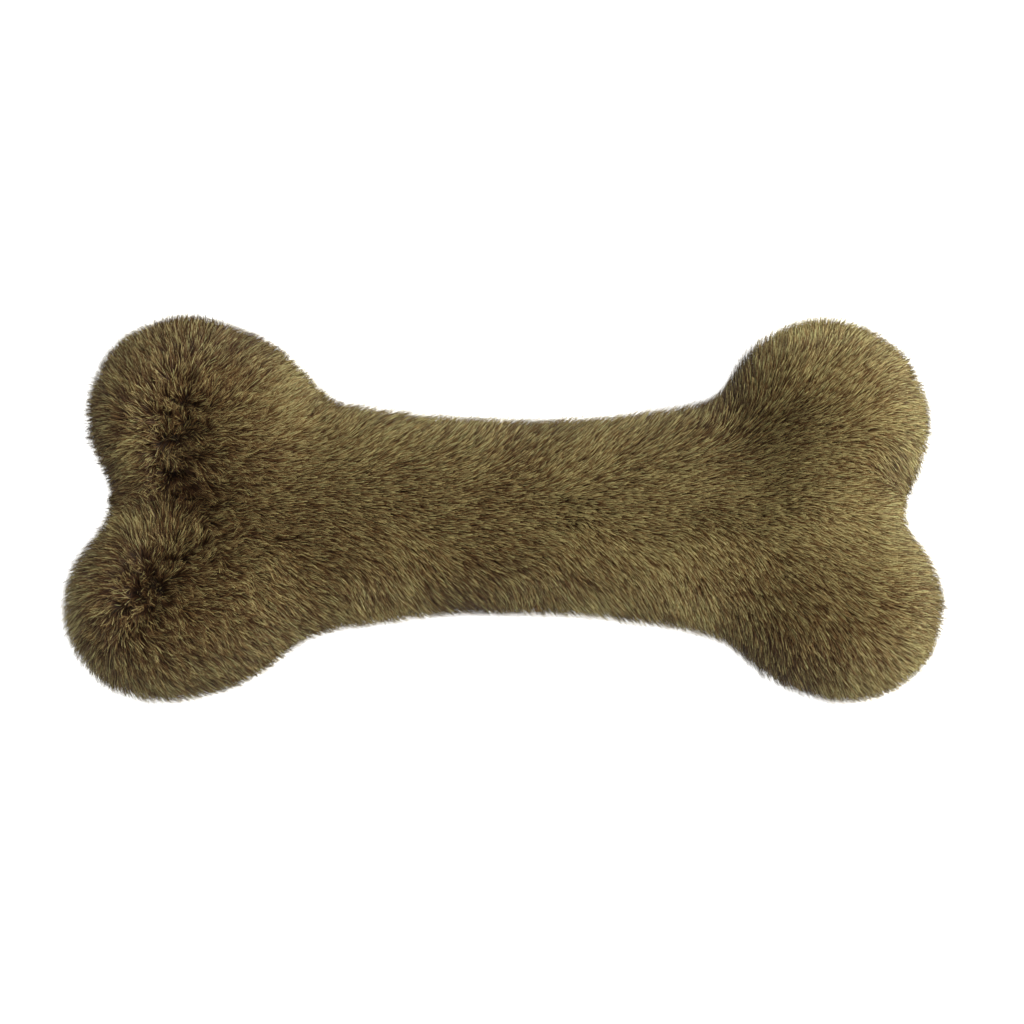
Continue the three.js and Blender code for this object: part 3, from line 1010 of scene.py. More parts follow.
    def lie(self, places: np.ndarray, up: np.ndarray) -> np.ndarray:
        """Works out which way the pile lies.

        Args:
            places: Points of the backing, in metres.
            up: The backing's normals there.

        Returns:
            A vector along the backing for each point, from 0 long where the pile stands up to 1.
        """
        outward = -self.pattern.inward[self.pattern.nearest(places)]
        strokes = np.array(self.strokes, float)
        angles = np.radians(strokes[:, 2])
        ways = np.column_stack([np.cos(angles), np.sin(angles), np.zeros(len(angles))])
        flat = places[:, :2] / MM
        nap = np.empty_like(places)
        for rows in batches(np.arange(len(flat))):
            apart = ((flat[rows, None] - strokes[None, :, :2]) ** 2).sum(2)
            weight = 1 / (apart + self.stroke_reach**2) ** 2
            nap[rows] = weight @ ways / weight.sum(1)[:, None]
        tilt = (up[:, :2] * outward).sum(1)
        seamward = np.column_stack([outward * np.abs(up[:, 2:3]), -np.sign(up[:, 2]) * tilt])
        nap += seamward * (self.droop * tilt**2)[:, None]
        nap -= up * (nap * up).sum(1)[:, None]
        size = np.linalg.norm(nap, axis=1)
        strength = np.clip(size / self.full_flow + tilt**2, 0, 1)
        return nap * (strength / np.maximum(size, 1e-6))[:, None]

    def mess(self, places: np.ndarray, lie: np.ndarray, up: np.ndarray) -> np.ndarray:
        """Works out how far the pile turns out of its way: most where it stands up, not on the sides.

        Args:
            places: Points of the backing, in metres.
            lie: Which way the pile lies there.
            up: The backing's normals there.

        Returns:
            The most that a strand turns at each point, in radians.
        """
        standing = 1 - np.linalg.norm(lie, axis=1)
        mess = self.least_mess + self.left_mess * eased(-places[:, 0] / MM, *self.mess_band)
        mess += self.standing_mess * standing
        return mess * up[:, 2] ** 2

    def tone(self, places: np.ndarray, up: np.ndarray) -> np.ndarray:
        """Works out how light the pile is, with painted light and shade in it.

        Args:
            places: Points of the backing, in metres.
            up: The backing's normals there.

        Returns:
            The tone at each point, which a spot can take past either end of the scale.
        """
        x, y = places[:, 0] / MM, places[:, 1] / MM
        # Painted light towards the right end and painted shade towards the left end, following how the key
        # light from the upper right falls
        tone = self.middle_tone + self.right_painted_light * eased(x, *self.right_painted_light_band)
        tone -= self.left_painted_shade * eased(-x, *self.left_painted_shade_band)
        # Painted shade on the near side, away from the key light, from the shaft's left end rightwards and
        # most over the shaft
        tone -= self.near_painted_shade * eased(-y, *self.near_painted_shade_band) * eased(x, *self.near_painted_shade_reach_band)
        shaft = 1 - eased(np.abs(x - self.middle_x), *self.shaft_painted_shade_band)
        tone -= self.near_shaft_painted_shade * eased(-y, *self.near_shaft_painted_shade_band) * shaft
        # Painted shade on the sides, most on the right ones that face the key light, and painted light on the
        # left ones that it misses
        side = 1 - np.abs(up[:, 2])
        left, right = eased(-x, *self.left_side_painted_light_band), eased(x, *self.right_side_painted_shade_band)
        tone -= (self.side_painted_shade - self.left_side_painted_light * left + self.right_side_painted_shade * right) * side
        # Painted light on the sides below the seam, which turn down away from the lights
        tone += self.under_painted_light * eased(-up[:, 2], *self.under_painted_light_band) * side
        # Spots: a darker one is painted shade in a dimple, a parting or a crease, and a lighter one makes the
        # pile lighter there
        for spot_x, spot_y, radius, gain in self.painted_shade_and_tone_spots:
            tone += gain * np.exp(-((x - spot_x) ** 2 + (y - spot_y) ** 2) / radius**2)
        return tone

    def length(self, lie: np.ndarray, up: np.ndarray) -> np.ndarray:
        """Returns the pile's length in millimetres, shorter where it stands up and longer on the sides."""
        lying = self.standing_length + self.lying_gain * np.linalg.norm(lie, axis=1)
        return lying + self.side_gain * (1 - np.abs(up[:, 2]))


@dataclass(frozen=True)
class FurFinish:
    """Long synthetic pile, with painted shade deep in it that darkens each strand's root, tan tips, and olive
    tips as painted rim light on the sides, lighter or darker by tone.
    """

    # The roots' colours are painted shade deep in the pile, dark and light by tone
    shaded_root_dark: Colour = colour(26, 12, 6)
    shaded_root_light: Colour = colour(79, 52, 28)
    tips: tuple[tuple[float, Colour], ...] = (
        (0.0, colour(67, 41, 25)),
        (0.35, colour(132, 98, 60)),
        (0.65, colour(178, 151, 101)),
        (1.0, colour(223, 209, 143)),
    )
    # Olive tips: painted rim light on the sides of the bone
    rim_light_olive_tips: tuple[tuple[float, Colour], ...] = (
        (0.0, colour(64, 48, 31)),
        (0.35, colour(128, 109, 70)),
        (0.65, colour(175, 160, 107)),
        (1.0, colour(218, 214, 148)),
    )
    root_shade_end: float = 0.3
    roughness: float = 0.52
    specular: float = 0.2

    def material(self) -> Material:
        """Builds the pile's material, whose colour follows each strand, with painted shade at the root and
        painted rim light in the olive tips.

        Returns:
            The material.
        """
        graph = Surface("faux_fur_pile")
        tone, place, _ = graph.parts(graph.add("ShaderNodeUVMap", {"uv_map": BAKE_MAP}))
        # Strands in the olive span take the olive tips, painted rim light on the sides
        olive = graph.math("GREATER_THAN", place, (STRAND_SPAN + RIM_LIGHT_OLIVE_START) / 2)
        along = (place - olive * RIM_LIGHT_OLIVE_START) * (1 / STRAND_SPAN)
        brown_tip = graph.add("ShaderNodeValToRGB", {"stops": self.tips}, {"Fac": tone}, "Color")
        rim_light_olive_tip = graph.add("ShaderNodeValToRGB", {"stops": self.rim_light_olive_tips}, {"Fac": tone}, "Color")
        tip = graph.mix(olive, brown_tip, rim_light_olive_tip)
        # Painted shade at the root, which fades into the tip's colour along the strand
        root = graph.mix(tone, self.shaded_root_dark, self.shaded_root_light)
        shade = graph.mix(graph.between(along, self.root_shade_end, 1.0, 0.0, 1.0), root, tip)
        inputs = {"Base Color": shade, "Roughness": self.roughness, "Specular IOR Level": self.specular}
        return graph.finish(inputs)


@dataclass(frozen=True)
class BackingFinish:
    """The knitted backing under the pile, with its sizes in metres."""

    dark: Colour = colour(38, 26, 15)
    light: Colour = colour(66, 49, 30)
    stitch: float = 0.0012
    depth: float = 0.0004
    bump_strength: float = 0.5
    blotch_size: float = 0.02
    blotch_gain: float = 0.4
    knit_band: tuple[float, float] = (0.1, 0.9)
    roughness: float = 0.9

    def material(self) -> Material:
        """Builds the backing's material, a fine knit in the object's own coordinates.

        Returns:
            The material.
        """
        graph = Surface("knit_backing")
        place = graph.add("ShaderNodeTexCoord", output="Object")
        cells = {"Vector": place, "Scale": 1 / self.stitch}
        knit = graph.add("ShaderNodeTexVoronoi", {"feature": "F1"}, cells, "Distance")
        blotch = graph.noise(place, self.blotch_size)
        raised = graph.between(knit + blotch * self.blotch_gain, *self.knit_band, 1.0, 0.0)
        shade = graph.mix(raised, self.dark, self.light)
        bump = graph.bump(self.bump_strength, self.depth, knit)
        return graph.finish({"Base Color": shade, "Roughness": self.roughness, "Normal": bump})


@dataclass(frozen=True)
class StrandShape:
    """How one strand stands, leans, turns and tapers.

    Sizes are in metres and turns in radians. Rises and reaches are shares of the strand's length, up from
    the backing and along it, and widths are shares of its width.
    """

    lock_size: float = 0.0006
    lock_pull: float = 0.1
    sway_size: float = 0.014
    swirl_size: float = 0.0036
    stray_size: float = 0.003
    stray_most: float = 9.0
    stray_drop: float = 8.9
    sway_turn: float = 0.7
    strand_turn: float = 0.4
    lock_turn: float = 0.3
    strand_lift: float = 0.2
    lock_lift: float = 0.04
    root_rise: float = 0.86
    root_reach: float = 0.4
    tip_rise: float = 0.82
    tip_drop: float = 0.52
    tip_reach: float = 0.9
    bend: float = 0.5
    shortest: float = 0.88
    length_spread: float = 0.24
    nudge: float = 0.05
    roll: float = 2.0
    wave_turn: float = 5.0
    wave_start: float = 6.3
    wave_reach: float = 0.03
    taper: float = 0.7
    thinnest: float = 0.8
    width_spread: float = 0.4
    side_width: float = 0.6
    lowest: float = 0.0002
    lowest_spread: float = 0.0006


@dataclass(frozen=True)
class StrandTone:
    """How far one strand's tone strays from the pile's tone at its root, on the scale from 0 to 1.

    A spread is the whole range of a random change, which the dark gain widens where the pile is dark. The
    olive strands, which are painted rim light, grow more common towards the sides.
    """

    cloud_size: float = 0.03
    cloud_spread: float = 0.3
    side_spread: float = 0.5
    face_spread: float = 0.75
    face_start: float = 1.8
    dark_start: float = 0.45
    dark_gain: float = 1.3
    lock_spread: float = 0.1
    least: float = 0.04
    most: float = 0.96
    # One edge of each strand a little lighter and the other a little darker: painted shading across the
    # strand
    across: float = 0.06
    rim_light_olive_draw: float = 7.3
    rim_light_olive_share: float = 1.2


@dataclass
class PileMaker:
    """Grows the pile on a backing: curved ribbons that lie along the nap in small locks.

    The cover is a strand's width as a share of the strands' spacing, and the crowding is the most roots
    that a square millimetre is given before those too near to each other are dropped.
    """

    strand_rows: tuple[float, ...] = (0.0, 0.55, 1.0)
    cover: float = 1.0
    crowding: float = 40.0
    shape: StrandShape = StrandShape()
    shade: StrandTone = StrandTone()

    def strand(self) -> Object:
        """Builds one strand of unit size: X from side to side and Z from root to tip.

        Returns:
            The strand, as a helper object.
        """
        points = [(side, 0.0, row) for row in self.strand_rows for side in (-0.5, 0.5)]
        faces = [(i, i + 1, i + 3, i + 2) for i in range(0, len(points) - 2, 2)]
        return new_object("strand", points, faces)

    @staticmethod
    def cells(maker: Maker, root: Signal, size: float) -> tuple[Signal, list[Signal]]:
        """Groups the roots into locks of a size in metres.

        Args:
            maker: The tree.
            root: The roots' places.
            size: How far the locks stand apart.

        Returns:
            The middle of each root's lock, and three random numbers that its strands share.
        """
        cell = maker.node("ShaderNodeTexVoronoi", None, {"Vector": root, "Scale": 1 / size})
        middle = Signal(maker, cell.outputs["Position"])
        return middle, maker.parts(Signal(maker, cell.outputs["Color"]))

    def tree(self) -> Maker:
        """Builds the Geometry Nodes tree that grows the pile.

        Returns:
            The tree.
        """
        maker = Maker("pile")
        strand, patch, spacing, width, seed, material = maker.ask(
            Strand="Object", Patch="Int", Spacing="Float", Width="Float", Seed="Int", Material="Material"
        )
        equal = {"data_type": "INT", "operation": "EQUAL"}
        chosen = maker.add("FunctionNodeCompare", equal, {"A": maker.named("patch", "INT"), "B": patch})
        points = maker.add(
            "GeometryNodeDistributePointsOnFaces",
            {"distribute_method": "POISSON"},
            {
                "Mesh": maker.geometry,
                "Selection": chosen,
                "Distance Min": spacing,
                "Density Max": self.crowding / MM**2,
                "Density Factor": 1.0,
                "Seed": seed,
            },
            "Points",
        )
        place = maker.add("GeometryNodeInputPosition")
        points = maker.store(points, "root", place, "FLOAT_VECTOR")
        limits = {"Min": (0.0, 0.0, 0.0), "Max": (1.0, 1.0, 1.0), "Seed": seed}
        chance = maker.add("FunctionNodeRandomValue", {"data_type": "FLOAT_VECTOR"}, limits, "Value")
        points = maker.store(points, "chance", chance, "FLOAT_VECTOR")
        shape = maker.add("GeometryNodeObjectInfo", None, {"Object": strand}, "Geometry")
        grown = maker.add("GeometryNodeInstanceOnPoints", None, {"Points": points, "Instance": shape})
        grown = maker.add("GeometryNodeRealizeInstances", None, {"Geometry": grown})
        self.comb(maker, grown, place, width, material)
        return maker

    def comb(self, maker: Maker, grown: Signal, place: Signal, width: Signal, material: Signal) -> None:
        """Bends the straight strands along the nap, draws them into locks and gives them their map.

        Args:
            maker: The tree.
            grown: The straight strands, each still of unit size at its root.
            place: The position field.
            width: A strand's width in metres.
            material: The pile's material.
        """
        root, up, nap = maker.named("root"), maker.named("up"), maker.named("nap")
        chance, mess = maker.named("chance"), maker.named("mess", "FLOAT")
        first, second, third = maker.parts(chance)
        facing = maker.math("ABSOLUTE", maker.parts(up)[2])
        side, _, along = maker.parts(place - root)
        form = self.shape
        lock, lock_chance = self.cells(maker, root, form.lock_size)
        sway = maker.parts(maker.noise(root, form.sway_size, "Color", 0.0))
        swirl = maker.parts(maker.noise(root, form.swirl_size, "Color", 0.0))

        # The way that a strand leans: the nap's, with strays where the pile stands up
        stray = maker.noise(root, form.stray_size, "Color", 1.0) - (0.5, 0.5, 0.5)
        stray = stray - up * maker.vector("DOT_PRODUCT", stray, up, output="Value")
        flow = maker.vector("LENGTH", nap, output="Value")
        laid = nap + stray * (form.stray_most - flow * form.stray_drop)
        turn = (sway[0] - 0.5) * form.sway_turn + (third - 0.5) * form.strand_turn
        turn = turn + (lock_chance[0] - 0.5) * form.lock_turn + (swirl[0] - 0.5) * mess
        axis = {"Vector": laid, "Axis": up, "Angle": turn}
        turned = maker.add("ShaderNodeVectorRotate", {"rotation_type": "AXIS_ANGLE"}, axis)

        # The bent line from the root to the tip
        lean = maker.math("MINIMUM", maker.vector("LENGTH", laid, output="Value"), 1.0)
        lift = (first - 0.5) * form.strand_lift + (lock_chance[1] - 0.5) * form.lock_lift
        start = up * (form.root_rise + lift) + turned * form.root_reach
        end = up * (form.tip_rise - lean * form.tip_drop + lift) + turned * form.tip_reach
        length = maker.named("length", "FLOAT") * (form.shortest + first * form.length_spread)
        path = start * along + (end - start) * (along * along * along * form.bend)

        # The pull of the strand's tip to the middle of its lock
        pull = (lock - root) * form.lock_pull
        pull = pull - up * maker.vector("DOT_PRODUCT", pull, up, output="Value")
        pull = pull * (along * along)

        # The ribbon's width, across the lean, with a nudge that gives an upright strand a way as well
        across = maker.vector("CROSS_PRODUCT", turned + chance * form.nudge, up)
        across = maker.vector("NORMALIZE", across)
        roll = (third - 0.5) * form.roll
        across = across * maker.math("COSINE", roll) + up * maker.math("SINE", roll)
        wave = maker.math("SINE", along * form.wave_turn + third * form.wave_start)
        wave = wave * along * (mess * form.wave_reach)
        half = side * width * (1.0 - along * form.taper) * (form.thinnest + second * form.width_spread)
        half = half * (form.side_width + facing * (1.0 - form.side_width))
        moved = root + path * length + pull + across * half + across * (wave * length)
        x, y, z = maker.parts(moved)
        z = maker.math("MAXIMUM", z, form.lowest + first * form.lowest_spread)
        moved = maker.add("ShaderNodeCombineXYZ", None, {"X": x, "Y": y, "Z": z})

        # The map, which holds the strand's tone, with its painted light and shade, and its place in the brown
        # span or in the olive span of painted rim light
        shade = self.shade
        cloud = maker.noise(root, shade.cloud_size)
        tone = maker.named("tone", "FLOAT") + (cloud - 0.5) * shade.cloud_spread
        inner = maker.math("MINIMUM", facing * shade.face_start, 1.0)
        darker = maker.math("MAXIMUM", shade.dark_start - tone, 0.0)
        spread = (shade.side_spread + inner * shade.face_spread) * (1.0 + darker * shade.dark_gain)
        tone = tone + (second - 0.5) * spread + (lock_chance[2] - 0.5) * shade.lock_spread
        tone = maker.add("ShaderNodeClamp", None, {"Value": tone, "Min": shade.least, "Max": shade.most})
        # Olive strands, painted rim light, are drawn more often where the backing faces sideways
        draw = maker.math("FRACT", first * shade.rim_light_olive_draw)
        olive = maker.math("LESS_THAN", draw, (1.0 - facing) * shade.rim_light_olive_share)
        up_map = along * STRAND_SPAN + olive * RIM_LIGHT_OLIVE_START
        # The tone shifts a little from one edge of the strand to the other, as painted shading across it
        chart = {"X": tone + side * shade.across, "Y": up_map, "Z": 0.0}
        chart = maker.add("ShaderNodeCombineXYZ", None, chart)
        charted = maker.store(grown, BAKE_MAP, chart, "FLOAT2", "CORNER")
        combed = maker.add("GeometryNodeSetPosition", None, {"Geometry": charted, "Position": moved})
        maker.finish(combed, material)


@dataclass
class FurPanel:
    """One fur panel: its knitted backing with the turned-in seam allowance, and its pile, in millimetres."""

    name: str
    facing: int
    pattern: BonePattern
    combing: Combing
    spacing: float
    seam_gap: float = 0.3
    backing: float = 1.2
    allowance: float = 6.0
    fold_gap: float = 0.4

    def shell(self, form: Object) -> Object:
        """Cuts this panel's half from the stuffed form.

        Args:
            form: The stuffed form, which isn't changed.

        Returns:
            The half, as a helper object.
        """
        half = linked(self.name + "_shell", form.data.copy())
        seam = (self.pattern.shift[2] + self.facing * self.seam_gap / 2) * MM
        with edited(half.data) as edit:
            bmesh.ops.bisect_plane(
                edit,
                geom=edit.verts[:] + edit.edges[:] + edit.faces[:],
                plane_co=(0.0, 0.0, seam),
                plane_no=(0.0, 0.0, float(self.facing)),
                clear_inner=True,
            )
            bmesh.ops.triangulate(edit, faces=edit.faces)
        return half

    def chart(self, shell: Object) -> None:
        """Writes on the shell which way the pile lies, its length, its tone and its patches.

        Args:
            shell: The panel's half of the form.
        """
        mesh = shell.data
        places, up = of_points(mesh), of_points(mesh, "normal")
        lie = self.combing.lie(places, up)
        layers = {
            "up": up,
            "nap": lie,
            "tone": self.combing.tone(places, up),
            "mess": self.combing.mess(places, lie, up),
            "length": self.combing.length(lie, up) * MM,
        }
        for name, values in layers.items():
            kind, key = ("FLOAT_VECTOR", "vector") if values.ndim == 2 else ("FLOAT", "value")
            layer = mesh.attributes.new(name, kind, "POINT")
            layer.data.foreach_set(key, values.astype(np.float32).ravel())
        centers = np.empty(len(mesh.polygons) * 3, np.float32)
        mesh.polygons.foreach_get("center", centers)
        layer = mesh.attributes.new("patch", "INT", "FACE")
        layer.data.foreach_set("value", self.combing.patch_of(centers.reshape(-1, 3)).astype(np.int32))

    def backing_piece(self, shell: Object, material: Material) -> Object:
        """Builds the backing as a wall of its real thickness, with the seam allowance turned in.

        Args:
            shell: The panel's half of the form.
            material: The backing's material.

        Returns:
            The backing.
        """
        wall = linked(self.name + "_backing", shell.data.copy())
        set_all(wall.modifiers.new("thickness", "SOLIDIFY"), thickness=self.backing * MM, offset=-1.0)
        apply_modifiers(wall)
        outer, inner = PILE_DEPTH + self.fold_gap, PILE_DEPTH + self.backing + self.allowance
        low, high = self.seam_gap / 2, self.seam_gap / 2 + self.backing
        section = ((outer, low), (inner, low), (inner, high), (outer, high))
        rings = [self.pattern.level_ring(inset, self.facing * height) for inset, height in section]
        count = len(rings[0])
        faces = ring_faces(count, len(rings))
        top = count * (len(rings) - 1)
        faces += [(top + i, top + (i + 1) % count, (i + 1) % count, i) for i in range(count)]
        band = new_object("band", np.concatenate(rings), faces)
        face_outward(band.data)
        with edited(wall.data) as edit:
            edit.from_mesh(band.data)
        discard(band)
        strip_attributes(wall.data)
        set_smooth(wall.data)
        paint(wall, material)
        return wall

    def build(
        self,
        form: Object,
        maker: Maker,
        pile: PileMaker,
        strand: Object,
        fur: Material,
        knit: Material,
    ) -> None:
        """Builds the backing and the pile, and puts them on the toy's body.

        Args:
            form: The stuffed form that both panels are cut from.
            maker: The tree that grows pile.
            pile: The pile's sizes.
            strand: One strand of unit size.
            fur: The pile's material.
            knit: The backing's material.
        """
        shell = self.shell(form)
        self.chart(shell)
        wall = self.backing_piece(shell, knit)
        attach(wall, "toy")
        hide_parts(self.name)
        for patch in Patch:
            name = f"{self.name}_pile_{patch.name.lower()}"
            values = {
                "Strand": strand,
                "Patch": patch.value,
                "Spacing": self.spacing * MM,
                "Width": pile.cover * self.spacing * MM,
                "Seed": patch.value + (10 if self.facing > 0 else 20),
                "Material": fur,
            }
            made = maker.run(shell, name, values)
            strip_attributes(made.data)
            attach(made, "toy")
            report(made)
        discard(shell)


@dataclass(frozen=True)
class PlasticFinish:
    """A moulded plastic: its colour, how glossy it is, and how fine and deep its grain is in metres."""

    name: str
    base: Colour
    worn: Colour
    roughness: float
    grain: float
    depth: float
    subsurface: float = 0.0
    subsurface_scale: float = 0.002
    uneven: float = 0.06
    flow_size: float = 12
    flow_band: tuple[float, float] = (0.35, 0.75)
    grain_band: tuple[float, float] = (0.3, 0.7)
    bump_strength: float = 0.35

    def material(self) -> Material:
        """Builds the plastic's material, with faint flow marks and a fine mould grain.

        Returns:
            The material.
        """
        graph = Surface(self.name)
        place = graph.add("ShaderNodeTexCoord", output="Object")
        flow = graph.noise(place, self.grain * self.flow_size)
        grain = graph.noise(place, self.grain, detail=3.0)
        glossy, dull = self.roughness - self.uneven, self.roughness + self.uneven
        gloss = graph.between(grain, *self.grain_band, glossy, dull)
        inputs = {
            "Base Color": graph.mix(graph.between(flow, *self.flow_band, 0.0, 1.0), self.base, self.worn),
            "Roughness": gloss,
            "Subsurface Weight": self.subsurface,
            "Subsurface Scale": self.subsurface_scale,
            "Normal": graph.bump(self.bump_strength, self.depth, grain),
        }
        return graph.finish(inputs)


@dataclass(frozen=True)
class FibreFinish:
    """Crimped polyester fibre, in a loose wad or spun into thread.

    A fibre's thickness is in metres. Its stretch and its bends are measured in fibres.
    """

    name: str
    light: Colour
    shaded: Colour
    fibre: float
    stretch: float
    sheen: float
    roughness: float = 0.85
    bend_size: float = 14
    bend_reach: float = 12
    streak_band: tuple[float, float] = (0.42, 0.68)
    bump_strength: float = 0.8

    def material(self) -> Material:
        """Builds the fibre's material, in drawn-out streaks that cross each other.

        Returns:
            The material.
        """
        graph = Surface(self.name)
        place = graph.add("ShaderNodeTexCoord", output="Object")
        bend = graph.noise(place, self.fibre * self.bend_size, "Color") - (0.5, 0.5, 0.5)
        bent = place + bend * (self.fibre * self.bend_reach)
        length = self.fibre * self.stretch
        first = graph.noise(bent * (1.0, self.stretch, self.stretch), length, detail=3.0)
        second = graph.noise(bent * (self.stretch, 1.0, self.stretch), length, detail=3.0)
        streaks = graph.math("MAXIMUM", first, second)
        inputs = {
            "Base Color": graph.mix(
                graph.between(streaks, *self.streak_band, 0.0, 1.0), self.shaded, self.light
            ),
            "Roughness": self.roughness,
            "Sheen Weight": self.sheen,
            "Normal": graph.bump(self.bump_strength, self.fibre, streaks),
        }
        return graph.finish(inputs)


FILL = FibreFinish(
    name="fibre_fill",
    light=colour(246, 244, 238),
    shaded=colour(196, 194, 188),
    fibre=0.0004,
    stretch=6.0,
    sheen=0.3,
)
THREAD = FibreFinish(
    name="polyester_thread",
    light=colour(106, 84, 54),
    shaded=colour(58, 43, 25),
    fibre=0.00012,
    stretch=4.0,
    sheen=0.1,
    roughness=0.55,
)
SOFT = PlasticFinish(
    name="soft_plastic",
    base=colour(236, 232, 220),
    worn=colour(226, 219, 202),
    roughness=0.42,
    grain=0.0004,
    depth=0.00004,
    subsurface=0.15,
)
RIGID = PlasticFinish(
    name="rigid_plastic",
    base=colour(222, 219, 208),
    worn=colour(205, 200, 186),
    roughness=0.36,
    grain=0.0003,
    depth=0.00003,
)
FILM = PlasticFinish(
    name="reed_film",
    base=colour(205, 184, 124),
    worn=colour(184, 160, 98),
    roughness=0.28,
    grain=0.0002,
    depth=0.00001,
)


@dataclass
class Stuffing:
    """The handfuls of fibre filling, each a lumpy wad with loose fibres on it.

    Sizes are in metres, a fibre's bend in degrees, and the density is in fibres per square millimetre.
    """

    weld: float = 0.00001
    voxel: float = 0.003
    passes: int = 4
    lump_size: float = 0.009
    lump_noise: tuple[float, float, int] = (0.8, 2.0, 3)
    lump_depth: float = 0.0011
    lump_base: float = 0.45
    lump_gain: float = 0.8
    lump_most: float = 1.6
    curl_radius: float = 0.0022
    curl_width: float = 0.00016
    curl_bend: float = 250.0
    curl_rise: float = 0.12
    curl_steps: int = 8
    curl_density: float = 0.14
    curl_sizes: tuple[float, float] = (0.6, 1.4)
    nodes: tuple[str, ...] = (
        "shaft_filling_front",
        "shaft_filling_back",
        "left_far_filling",
        "left_near_filling",
        "right_far_filling",
        "right_near_filling",
    )

    def curl(self) -> Object:
        """Builds one crimped fibre, a narrow ribbon bent round most of a circle.

        Returns:
            The fibre, as a helper object.
        """
        points = []
        for step in range(self.curl_steps):
            angle = math.radians(self.curl_bend) * step / (self.curl_steps - 1)
            for side in (-0.5, 0.5):
                radius = self.curl_radius + side * self.curl_width
                rise = self.curl_rise * self.curl_radius * math.sin(2 * angle)
                points.append((radius * math.cos(angle), radius * math.sin(angle), rise))
        faces = [(i, i + 1, i + 3, i + 2) for i in range(0, len(points) - 3, 2)]
        return new_object("curl", points, faces)

    def tree(self) -> Maker:
        """Builds the Geometry Nodes tree that scatters loose fibres over a wad.

        Returns:
            The tree.
        """
        maker = Maker("loose_fibres")
        curl, density, seed, material = maker.ask(
            Curl="Object", Density="Float", Seed="Int", Material="Material"
        )
        scatter = maker.node(
            "GeometryNodeDistributePointsOnFaces",
            {"distribute_method": "RANDOM"},
            {"Mesh": maker.geometry, "Density": density, "Seed": seed},
        )
        shape = maker.add("GeometryNodeObjectInfo", None, {"Object": curl}, "Geometry")
        full = {"Min": 0.0, "Max": math.tau, "Seed": seed}
        turn = maker.add("FunctionNodeRandomValue", None, full, "Value")
        spin = maker.add("ShaderNodeCombineXYZ", None, {"X": 0.0, "Y": 0.0, "Z": turn})
        upright = {"Rotation": Signal(maker, scatter.outputs["Rotation"]), "Rotate By": spin}
        turned = maker.add("FunctionNodeRotateRotation", {"rotation_space": "LOCAL"}, upright)
        least, most = self.curl_sizes
        size = maker.add("FunctionNodeRandomValue", None, {"Min": least, "Max": most, "Seed": seed}, "Value")
        points = Signal(maker, scatter.outputs["Points"])
        placed = {"Points": points, "Instance": shape, "Rotation": turned, "Scale": size}
        curls = maker.add("GeometryNodeInstanceOnPoints", None, placed)
        joined = maker.node("GeometryNodeJoinGeometry")
        for part in (maker.geometry, curls):
            maker.tree.links.new(part.socket, joined.inputs[0])
        maker.finish(Signal(maker, joined.outputs[0]), material)
        return maker

    def wad(self, node: str) -> Object:
        """Shapes one handful of filling in the space that its node holds.

        Args:
            node: The node's name.

        Returns:
            The wad, as a helper object.
        """
        wad = linked(node + "_wad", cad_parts[node].data.copy())
        with edited(wad.data) as edit:
            bmesh.ops.remove_doubles(edit, verts=edit.verts, dist=self.weld)
        make_even(wad, self.voxel, self.passes)
        places, out = of_points(wad.data), of_points(wad.data, "normal")
        places_in_lumps = [Vector(place) / self.lump_size for place in places]
        lumps = np.array([noise.fractal(place, *self.lump_noise) for place in places_in_lumps])
        depths = self.lump_depth * np.clip(self.lump_base + self.lump_gain * lumps, 0, self.lump_most)
        places -= out * depths[:, None]
        move_points(wad.data, places)
        return make_round(wad)

    def build(self, material: Material) -> None:
        """Builds every handful and puts it in the toy.

        Args:
            material: The fibre's material.
        """
        curl, maker = self.curl(), self.tree()
        for seed, node in enumerate(self.nodes):
            wad = self.wad(node)
            density = self.curl_density / MM**2
            values = {"Curl": curl, "Density": density, "Seed": seed, "Material": material}
            fluffed = maker.run(wad, node + "_fibres", values)
            discard(wad)
            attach(fluffed, "toy")
            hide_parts(node)
            report(fluffed)
        discard(curl)


